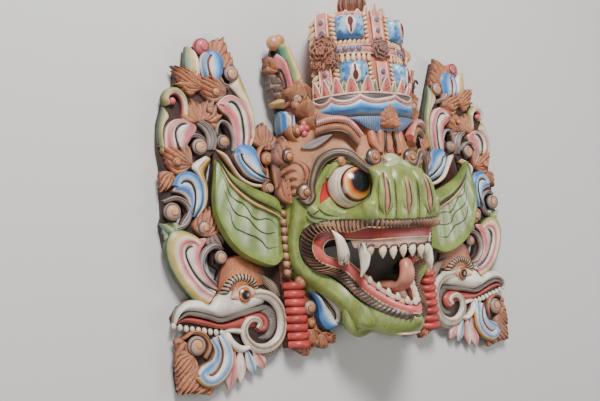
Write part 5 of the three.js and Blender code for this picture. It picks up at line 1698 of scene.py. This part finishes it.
def rope_edges(pieces):
    """Rope edging of slanting petals round each boss and up the sides, set by geometry nodes."""
    petal = petal_shape()
    points, aims, ups, sizes = [], [], [], []

    def run(path, outs, turn, length, width, pitch, lean=0.6):
        path = smooth_path(path, 200)
        outs = smooth_path(outs, 200)
        total = np.sum(np.linalg.norm(np.diff(path, axis=0), axis=1))
        for i in np.linspace(4, 195, max(2, int(total / pitch))).astype(int):
            ahead = path[i + 3] - path[i - 3]
            ahead /= np.linalg.norm(ahead)
            out = outs[i] / np.linalg.norm(outs[i])
            points.append(path[i])
            aims.append(np.cross(out, ahead) * turn + ahead * lean)
            ups.append(out)
            sizes.append((length, width, 4.4))

    def column(angle, low, high, out, turn, *size):
        path = [crown_point(angle, y, out) for y in np.linspace(low, high, 6)]
        run(path, [crown_out(angle)] * 6, turn, *size)

    def row(angle, level, turn, *size):
        span = np.linspace(angle - 0.3, angle + 0.3, 8)
        run([crown_point(a, level, 3) for a in span], [crown_out(a) for a in span], turn, *size)

    for facing in (-1, 1):
        for level in BOSS_LEVELS:
            column(facing * 0.78, level - 20, level + 20, 2, -facing, 11, 5.6, 5.6)
            column(facing * 0.155, level - 20, level + 20, 2, facing, 8, 5.0, 5.6)
        row(facing * BOSS_ANGLE, 166, 1, 9, 6.0, 5.6)
        row(facing * BOSS_ANGLE, 145, 1, 13, 6.2, 6.4, 0.15)
        column(facing * CROWN_SIDE, 94, 205, 2, facing, 16, 7.5, 8.2)
        column(facing * CROWN_SIDE, 96, 207, -1, facing, 11, 6.5, 8.2, 0.9)
    pieces.append(set_on_points("crown_rope", petal, points, aims, ups, sizes, "rope_cream", seed=5,
        play=0.15))
    bpy.data.objects.remove(petal)


def petal_shape():
    """A plump pointed petal, a unit long."""
    rows = []
    for i in range(8):
        t = i / 7
        width = max(0.5 * math.sin(math.pi * min(1, t * 0.8 + 0.16)) ** 0.8, 0.04)
        rows.append([(t - 0.5, width * math.cos(a), 0.75 * width * math.sin(a) + 0.2)
            for a in np.linspace(0, 2 * math.pi, 10, endpoint=False)])
    return shape_of("petal", rows)


def spear(carving, angle, foot, tip, half, paint, out=8.0, lean=5.0, rim="cream_pink"):
    """A pointed collar petal that leans out from the wall, with a pale rim."""
    low, high = crown_point(angle, foot, out - 3), crown_point(angle, tip, out)
    outward = crown_out(angle)
    side = np.cross(UPRIGHT, outward)
    high = high + outward * lean
    stations = np.linspace(0, 1, 12)
    spine = [low * (1 - t) + high * t for t in stations]
    widths = [half * (1 - t) ** 0.8 * (1 + 0.2 * t) + 0.4 for t in stations]
    left = [s - side * w for s, w in zip(spine, widths)]
    right = [s + side * w for s, w in zip(spine, widths)]
    middle = [s + outward * 3.0 * (1 - 0.5 * t) for s, t in zip(spine, stations)]
    strap(carving, [left, middle, right], paint, thick=4.5, steps=(16, 13), centre=(0, (foot + tip) / 2, 0))
    cord(carving, [p + outward * 0.6 for p in left[:-1]] + [spine[-1] + outward * 0.8]
         + [p + outward * 0.6 for p in right[-2::-1]], 1.3, rim, sides=8, steps=40)


def collar(carving):
    places = (-1.14, -0.98, -0.78, -0.54, -0.27, 0.0, 0.27, 0.54, 0.78, 0.98, 1.14)
    for place in places:
        half = 10.5 - 2.5 * abs(place) ** 2
        spear(carving, place, 89, 115, half, "collar_rose", out=7, lean=4)
        for turn in (-1, 1):
            cord(carving, [crown_point(place + turn * 0.05, 96, 10.5), crown_point(place, 100, 11.5),
                crown_point(place + turn * 0.015, 104, 11)], [0.3, 0.8, 0.3], "rose_line", sides=6,
                steps=10)
    for one, two in zip(places, places[1:]):
        spear(carving, (one + two) / 2, 90, 110, 5.5, "collar_green", out=4, lean=2)


def rosette(carving, centre, out, radius):
    """A carved flower of curling leaves."""
    side = np.cross(UPRIGHT, out)
    for ring, (count, reach, size,
            push) in enumerate(((9, 1.0, 0.34, 1.5), (7, 0.62, 0.3, 4.5), (5, 0.3, 0.22, 7))):
        for k in range(count):
            t = 2 * math.pi * (k + 0.5 * ring) / count
            radial = side * math.cos(t) + UPRIGHT * math.sin(t)
            tangent = -side * math.sin(t) + UPRIGHT * math.cos(t)
            p = centre + radial * radius * reach * 0.78 + out * push
            curl = [p - tangent * radius * size * 0.9 - radial * radius * 0.12, p
                + radial * radius * size * 0.55 + out * 1.0, p + tangent * radius * size * 0.9
                - radial * radius * 0.12, p - radial * radius * 0.06 + out * 1.5]
            cord(carving, curl, [1.4, radius * 0.105, radius * 0.1, 1.0], "flower_wood", sides=9, steps=14)
    knob(carving, *(centre - out), radius * 0.95, "flower_wood", squash=0.3, direction=out, rows=9,
        sides=26)
    knob(carving, *(centre + out * 6), radius * 0.2, "flower_wood", squash=0.8, direction=out, rows=7,
        sides=12)


def jewels(carving):
    """Painted bands with grey-violet stones between the bosses, and the girdle round the middle."""
    for angle in (-0.98, 0.0, 0.98):
        out = crown_out(angle)
        side = np.cross(UPRIGHT, out)
        half = 9.0 if angle else 8.0
        for low, high in ((98, 138), (166, 214)):
            levels = np.linspace(low, high, 5)
            bow = [2.5, 3.0, 3.0, 3.0, 1.0 if high > 200 else 3.0]
            left = [crown_point(angle, y, b) - side * half for y, b in zip(levels, bow)]
            right = [crown_point(angle, y, b) + side * half for y, b in zip(levels, bow)]
            middle = [crown_point(angle, y, b + 1.5) for y, b in zip(levels, bow)]
            strap(carving, [left, middle, right], "crown_pink", thick=7, steps=(20, 9), centre=(0, 150, 0))
            for edge in (left, right):
                cord(carving, [p + out * 0.8 for p in edge], 1.3, "cream_pink", sides=8, steps=20)
            for y in ((112, 124) if high < 200 else (184, 200)):
                knob(carving, *crown_point(angle, y, 4.6), 4.4, "stone_violet", squash=0.5, direction=out)
                knob(carving, *crown_point(angle, y, 3.6), 5.6, "cream_pink", squash=0.3, direction=out)
    span = np.linspace(-CROWN_SIDE, CROWN_SIDE, 40)
    for level in (150, 162):
        cord(carving, [crown_point(a, level, 3) for a in span], 1.5, "cream_pink", sides=8, steps=120)
    strap(carving, [[crown_point(a, 162.5, 1) for a in span], [crown_point(a, 156, 4.5) for a in span],
        [crown_point(a, 149.5, 1) for a in span]], "crown_pink", thick=5, steps=(80, 9), centre=(0, 156, 0))
    for angle in (-0.72, -0.58, -0.46, -0.34, 0.34, 0.46, 0.58, 0.72):
        knob(carving, *crown_point(angle, 156, 6), 4.6, "stone_violet", squash=0.55,
            direction=crown_out(angle))
        knob(carving, *crown_point(angle, 156, 5), 5.8, "cream_pink", squash=0.3,
            direction=crown_out(angle))


def crown_top(carving):
    """The pointed leaf on the front band and the flame that stands on the crown's flat top."""
    for angle, tip, half in ((0.0, 224, 6.5), (-0.12, 219, 4), (0.12, 219, 4)):
        spear(carving, angle, 204, tip, half, "rope_cream_wood", out=1, lean=1, rim="cream_pink")
    for side in (-1, 1):
        for reach, height in ((0.25, 212), (0.5, 211), (0.75, 208)):
            spear(carving, side * reach, height - 9, height + 3, 6, "crown_pink", out=-2, lean=-2)
    flame = [(0, 218, 56), (0, 236, 57), (0, 254, 58), (0, 269.5, 58)]
    cord(carving, flame, [17, 20, 15, 1], "flame_wood", sides=24, steps=30, level=(0, 0, 1))
    for k in range(12):
        t = 2 * math.pi * k / 12
        c, s = math.cos(t), math.sin(t)
        cord(carving, [(c * 15, 216, 56 + s * 15), (c * 19.5, 236, 57 + s * 19.5),
            (c * 14, 254, 58 + s * 14), (c * 3, 268, 58 + s * 3)], [2.4, 2.8, 2.2, 0.6], "flame_wood",
            sides=9, steps=20)
        t += math.pi / 12
        c, s = math.cos(t), math.sin(t)
        cord(carving,
            [(c * 17.5, 220, 56 + s * 17.5), (c * 20.6, 236, 57 + s * 20.6), (c * 15, 254, 58 + s * 15)],
            [0.3, 0.8, 0.3], "line_dark", sides=6, steps=16)


def side_flowers(carving):
    """Brown carved flowers over the middle of each band, with curling leaves under the side pair."""
    rosette(carving, crown_point(0.0, 158, 3), crown_out(0.0), 16)
    for facing in (-1, 1):
        out = crown_out(facing * 1.0)
        side = np.cross(UPRIGHT, out)
        rosette(carving, crown_point(facing * 0.98, 160, 3), out, 22)
        rosette(carving, crown_point(facing * 0.84, 141, 2), out, 13)
        rosette(carving, crown_point(facing * 1.1, 139, 1), out, 12)
        for shift, drop in ((-12, 132), (0, 128), (12, 133)):
            base = crown_point(facing * 0.98, drop + 12, 3) + side * shift * 0.6
            tip = crown_point(facing * 0.98, drop, 3) + side * shift
            cord(carving, [base, (base + tip) / 2 + out * 1.5, tip], [3.6, 3.4, 0.5], "flower_wood",
                sides=9, steps=12)


def crown_paints():
    def boss_blue(name):
        shade = Shade(name)
        across = shade.band()[1]
        light = shade.noise(52.0, 3.0, 0.6).between(0.42, 0.62)
        colour = shade.blend(light, linear("4f83b8"), linear("a9d2e6"))
        # Painted shade: the boss darkens towards its rim, where it curves back into the wall.
        deep = shade.blend(across.between(0.45, 1.0) * 0.6, colour, linear("2f5f96"))
        return aged(shade, deep, gloss=0.35, coat=0.3, wear=0.25)
    return {
        "boss_blue": boss_blue,
        "cloud_blue": banded([(0.0, "ecd5cc"), (0.12, "e3e4e4"), (0.24, "b5d0e2"), (0.4, "5f9bcb"),
            (0.58, "3f7ab8"), (0.74, "6f8cab"), (0.88, "7d7672"), (1.0, "5f5450")]),
        "crown_rose": plain_paint("cf8a78", "b9775c", wear=0.5),
        "crown_pink": plain_paint("dd8a86", "d9a08c", wear=0.3),
        "cream_pink": plain_paint("efd9c6", "e3b8a4", wear=0.2),
        "rose_line": plain_paint("b5524e", "cf8078"),
        # Painted shadow for the gaps above the cloud border.
        "grey_gap": plain_paint("4f4a4a", "6b6260"),
        "halo_white": plain_paint("ecd8cc", "e3b9ac", wear=0.1),
        "keyhole_red": plain_paint("4e1f1a", "6b2c22", gloss=0.75, wear=0.05, coat=0.0),
        "curl_line": plain_paint("2f4a66", "45617c"),
        "rope_cream": plain_paint("f0d6aa", "dfae84", wear=0.3),
        "rope_cream_wood": banded([(0.0, "e3b08a"), (0.5, "d99a78"), (1.0, "e3b08a")]),
        "collar_rose": banded([(0.0, "efd9c8"), (0.18, "d9857e"), (0.5, "cc6f6c"), (0.82, "d9857e"),
            (1.0, "efd9c8")]),
        "collar_green": banded([(0.0, "e3cfa8"), (0.25, "7f8c5a"), (0.5, "6f7f50"), (0.75, "7f8c5a"),
            (1.0, "e3cfa8")]),
        "stone_violet": plain_paint("6f5f78", "8a7488"),
        "flame_wood": carved_wood("b88560", "966044", "4e2f22"),
        "flower_wood": carved_wood("c99678", "a8705a", "6a4036"),
    }


PAINTS.update(crown_paints())


def make_crown():
    carving = Carving()
    crown_wall(carving)
    cloud_border(carving)
    collar(carving)
    lower, upper = BOSS_LEVELS
    for angle in (-BOSS_ANGLE, BOSS_ANGLE):
        boss(carving, angle, upper, True)
        boss(carving, angle, lower, False)
    jewels(carving)
    side_flowers(carving)
    crown_top(carving)
    pieces = [carving.object("crown_block")]
    rope_edges(pieces)
    for piece in pieces:
        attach(piece, "root")
        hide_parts("crown")


make_crown()


# Plumes
# A curled feather of carved wood each side of the crown, one piece each, pegged to the brow: banded
# in pink, white and green, leafed at its back, with a blue tongue and a flower at its foot.

def make_plume(side, flip):
    carving = Carving()
    rows = [[(72, 44), (116, 40)], [(76, 62), (120, 66)], [(78, 84), (127, 94)], [(76, 106), (134, 112)],
            [(84, 128), (136, 130)], [(94, 150), (130, 152)], [(104, 172), (122, 174)]]
    rings = [[(*a, 12.3), (*b, 12.3), (*b, 19), (*a, 19)] for a, b in rows]
    # The near-black ground strip is painted shade behind the plume's reliefs.
    carving.grid(np.array(rings, float), "ground_wood")
    # The prong: green and yellow bands on the crown's side, cream and pink outside, balls on its tip
    ribbon(carving, [(84, 126), (92, 146), (101, 166), (107, 180)],
        [(104, 112), (107, 132), (114, 152), (120, 172)], "plume_bands", top=45, base=14, steps=60,
        across=25, taper=(0.1, 0.1))
    ribbon(carving, [(106, 86), (104, 110), (109, 134), (118, 164)],
        [(120, 84), (117, 108), (121, 130), (124, 152)], "lobe_pink", top=46, base=14, steps=50, across=21,
        taper=(0.1, 0.25))
    incision(carving, [(121, 90), (119, 112), (122, 128), (128, 136), (131, 130)], width=1.7, top=42)
    incision(carving, [(108, 92), (109, 114), (113, 134), (118, 150)], width=0.9, top=46, paint="line_red")
    knob(carving, 123, 178, 26, 11, "plume_tip", squash=0.9, rows=15, sides=26)
    knob(carving, 115, 182, 27, 8.8, "plume_tip", squash=0.9, rows=13, sides=22)
    patra(carving, (122, 136), (137, 158), 9, fingers=3, top=36, bottom=13)
    for foot, tip, half in (((119, 118), (137, 132), 10), ((119, 108), (136, 116), 9),
            ((120, 98), (135, 104), 8)):
        patra(carving, foot, tip, half, fingers=3, paint="carved_grey", top=36, bottom=13)
    ribbon(carving, [(112, 96), (124, 98), (134, 92)], [(110, 84), (121, 85), (131, 86)], "strip_tan",
        top=38, base=14, steps=24, taper=(0.2, 0.3))
    # Blue tongue with its white heart
    ribbon(carving, [(123, 80), (125, 60), (123, 44), (115, 28)],
        [(118, 80), (118, 62), (117, 46), (114, 32)], "comma_blue", top=40, base=13, steps=36)
    ribbon(carving, [(105, 82), (106, 62), (108, 46), (113, 33)],
        [(117, 80), (116, 62), (116, 46), (114, 34)], "comma_blue", top=44, base=13, steps=36)
    ribbon(carving, [(115, 78), (113, 62), (114, 46), (115, 36)],
        [(123, 78), (122, 64), (120, 48), (117, 36)], "heart_white", top=45, base=14, steps=30,
        taper=(0.3, 0.3))
    incision(carving, [(119, 76), (115, 70), (117, 58), (117, 46)], width=1.1, top=45, paint="line_red")
    # Brown board down the inner side, with leaves and two balls, and the pink flower at its foot
    ribbon(carving, [(90, 132), (78, 108), (70, 84), (70, 60), (72, 46)],
        [(102, 124), (104, 106), (106, 84), (104, 62), (102, 50)], "board_tan", top=46, base=14, steps=40,
        taper=(0.1, 0.1))
    for foot, tip, half, top in (((108, 88), (98, 124), 15, 54), ((98, 66), (90, 98), 15, 62),
            ((92, 46), (80, 76), 14, 68), ((84, 94), (90, 122), 9, 50)):
        patra(carving, foot, tip, half, fingers=9, paint="leaf_wood", top=top, bottom=14)
    knob(carving, 108, 92, 48, 8.5, "volute_ball", squash=0.9)
    knob(carving, 111, 84, 48, 8, "wood_ball", squash=0.8)
    ribbon(carving, [(96, 98), (106, 100), (116, 94)], [(98, 92), (106, 94), (113, 90)], "grey_band",
        top=56, base=20, steps=24)
    for k in range(5):
        t = 2 * math.pi * k / 5
        knob(carving, 101 + 7 * math.cos(t), 50 + 7 * math.sin(t), 55, 5.5, "rose_paint", squash=0.7)
    knob(carving, 101, 50, 58, 5, "rose_line", squash=0.7)
    knob(carving, 112, 48, 47, 8, "wood_ball")
    ribbon(carving, [(120, 62), (124, 44), (112, 30), (96, 32)],
        [(116, 58), (118, 44), (110, 36), (98, 38)], "brown_band", top=50, base=16, steps=30)
    ribbon(carving, [(100, 40), (90, 34), (80, 30)], [(98, 32), (90, 27), (82, 25)], "grey_band", top=60,
        base=20, steps=24)
    piece = carving.object(f"{side}_plume_carving", flip)
    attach(piece, "root")
    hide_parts(f"{side}_plume")


PAINTS.update({
    "plume_tip": plain_paint("cb9a74", "bd8462", coat=0.4),
    "strip_tan": plain_paint("e0bd84", "c79a68"),
    "heart_white": banded([(0.0, "d98f88"), (0.2, "efe3dc"), (0.5, "f2ece8"), (0.8, "e9dcd4"),
        (1.0, "a9c3dc")]),
    "plume_bands": banded([(0.0, "d9a08c"), (0.2, "efdccc"), (0.36, "d98a7c"), (0.5, "e9b98a"),
        (0.62, "e3cf8a"), (0.74, "a9bc78"), (0.86, "7fae8e"), (1.0, "5f9d94")]),
    # Painted shade: the stops darken at both edges, where the band sinks into the ground.
    "board_tan": banded([(0.0, "7c4e38"), (0.12, "c08a68"), (0.5, "c9987a"), (0.88, "b98262"),
        (1.0, "7c4e38")]),
    "leaf_wood": carved_wood("c08c68", "96664a", "54352a"),
})
make_plume("left", True)
make_plume("right", False)


# Ears
# A broad leaf-shaped ear each side, sawn from a thin board, hollowed on its face, ribbed and painted
# green with a pale heart, and let in beside the cheek.

def make_ear(side, flip):
    carving = Carving()
    base, steps = 26.4, 60
    upper = smooth_path([(139, -60), (142, -46), (156, -37), (182, -27), (210, -12), (227, 6), (233, 10)],
        steps)
    lower = smooth_path([(139, -126), (160, -136), (188, -128), (214, -112), (233, -86), (243, -50),
        (234, 9)], steps)
    share = np.linspace(0, 1, steps)
    across = 41
    v = np.linspace(0, 1, across)
    grid = upper[:, None, :] * (1 - v)[None, :, None] + lower[:, None, :] * v[None, :, None]
    rim = np.minimum(v, 1 - v) * 2
    bowl = 9 + 8 * np.exp(-((v - 0.13) / 0.09) ** 2) + 4 * np.exp(-((v - 0.97) / 0.06) ** 2)
    fall = (1 - 0.45 * share ** 2) * np.interp(share, [0, 0.08, 0.2], [0.2, 0.7, 1])
    height = np.outer(fall, bowl) * np.minimum(1, rim * 18 + 0.35)[None, :]
    middle = np.sin(np.pi * np.clip((v - 0.2) / 0.75, 0, 1))
    folds = 1.5 * np.cos(share[:, None] * 38 + 5 * v[None, :]) * middle[None, :]
    z = base + height + folds * (1 - share[:, None] * 0.5)
    front = np.dstack([grid, z])
    back = np.dstack([grid, np.full(z.shape, base)])
    rings = np.concatenate([front, back[:, ::-1]], axis=1)
    carving.grid(rings, "ear_green", along=share, across=np.concatenate([v, v[::-1]]))
    rim_line = [(x, y, base + 15 * (1 - 0.45 * s * s)) for (x, y), s in zip(
        (upper * 0.80 + lower * 0.20)[::4], share[::4])]
    cord(carving, rim_line, [0.6, 1.3, 1.3, 0.6], "line_dark", sides=8, steps=60)
    second = [(x, y, base + 12 * (1 - 0.45 * s * s)) for (x, y), s in zip(
        (upper * 0.75 + lower * 0.25)[2:-4:4], share[2:-4:4])]
    cord(carving, second, [0.8, 2.2, 2.0, 0.6], "strip_tan", sides=10, steps=60)
    for k, (place, start, stop) in enumerate(((0.40, 0.12, 0.86), (0.55, 0.08, 0.74), (0.72, 0.10, 0.62))):
        run = []
        for q in np.linspace(start, stop, 12):
            at = place + 0.035 * math.sin(22 * q + 2 * k)
            run.append(front[int(q * (steps - 1)), int(at * (across - 1))] + np.array([0, 0, 0.2]))
        cord(carving, run, [0.3, 1.0, 0.9, 0.3], "green_dark", sides=8, steps=50)
    piece = carving.object(f"{side}_ear_leaf", flip)
    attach(piece, "root")
    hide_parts(f"{side}_ear")


def ear_green(name):
    shade = Shade(name)
    along, across = shade.band()
    heart = across.between(0.2, 0.4) * (1 - across.between(0.72, 0.96)) * along.between(0.02, 0.2)
    ripple = (along * 6.0 + across * 0.9).waves()
    cloud = shade.noise(30.0, 3.0).between(0.35, 0.7)
    green = shade.blend(cloud * 0.6, linear("859450"), linear("66783c"))
    pale = shade.blend(ripple.between(0.1, 0.38), linear("c3cbab"), linear("8fa070"))
    colour = shade.blend(heart * 0.75, green, pale)
    hair = (along * 70.0 + across * 6.0).waves()
    edge = 1 - across.between(0.02, 0.16) * (1 - across.between(0.9, 1.0))
    haired = shade.blend(hair.between(0.28, 0.45) * edge * 0.5, colour, linear("4f5f30"))
    return aged(shade, haired, gloss=0.36, wear=0.25, coat=0.3)


PAINTS["ear_green"] = ear_green
make_ear("left", True)
make_ear("right", False)


# Tongue
# A rounded tongue that rises from the jaw's floor and curls back at its tip, carved as one bar.

def make_tongue():
    carving = Carving()
    rows = []
    path = smooth_path([(0, -174, 56), (0, -174, 72), (0, -177, 88), (0, -178, 102), (0, -171, 115),
        (0, -160, 120), (0, -149, 119), (0, -142, 114)], 40)
    widths = np.interp(np.linspace(0, 1, 40), [0, 0.3, 0.6, 0.82, 0.95, 1], [19, 17, 13.5, 11.4, 9.0, 5.0])
    depths = np.interp(np.linspace(0, 1, 40), [0, 0.5, 0.85, 0.97, 1], [6, 7, 9.2, 7.6, 3.0])
    ahead = np.gradient(path, axis=0)
    ahead /= np.linalg.norm(ahead, axis=1)[:, None]
    side = np.array([1.0, 0, 0])
    for p, a, w, d in zip(path, ahead, widths, depths):
        up = np.cross(side, a)
        ring = []
        for t in np.linspace(0, 2 * math.pi, 28, endpoint=False):
            c, s = math.cos(t), math.sin(t)
            dip = 1 - 0.22 * math.exp(-(c / 0.25) ** 2) * (s < 0)
            ring.append(p + side * c * w + up * s * d * dip)
        rows.append(ring)
    carving.grid(rows, "tongue_rose")
    piece = carving.object("tongue_curl")
    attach(piece, "root")
    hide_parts("tongue")


PAINTS["tongue_rose"] = plain_paint("cf8f7c", "bd7a68", coat=0.4)
make_tongue()


# Fangs
# Four long fangs of whitened wood, each a tapered peg socketed in the gum, two curving down from the
# upper jaw and two up from the corners of the lower.

def make_fang(side, flip, place, path, radii):
    carving = Carving()
    cord(carving, path, radii, "fang_cream", sides=22, steps=36, level=(0, 0, 1))
    piece = carving.object(f"{side}_{place}_fang_peg", flip)
    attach(piece, "root")
    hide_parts(f"{side}_{place}_fang")


def fang_cream(name):
    shade = Shade(name)
    along = shade.band()[0]
    streak = shade.noise(1.0, 3.0, 0.6, where=shade.node("ShaderNodeMapping", {}, {
        "Vector": shade.object, "Scale": (420.0, 50.0, 420.0)}))
    root = (1 - along.between(0.0, 0.42)) * streak.between(0.42, 0.55)
    body = shade.blend(streak.between(0.45, 0.7) * 0.35, linear("f4ecd8"), linear("d9c09a"))
    colour = shade.blend(root, body, linear("3b322d"))
    return aged(shade, colour, gloss=0.3, wear=0.03, coat=0.4)


PAINTS["fang_cream"] = fang_cream
for side, flip in (("left", True), ("right", False)):
    make_fang(side, flip, "upper", [(55, -117, 99), (57, -132, 103), (60, -147, 103), (64, -160, 99)],
        [7.6, 8.2, 5.8, 0.9])
    make_fang(side, flip, "lower", [(68, -138, 70), (74, -124, 78), (81, -107, 81), (88, -94, 76)],
        [8.2, 8.6, 6.4, 0.9])
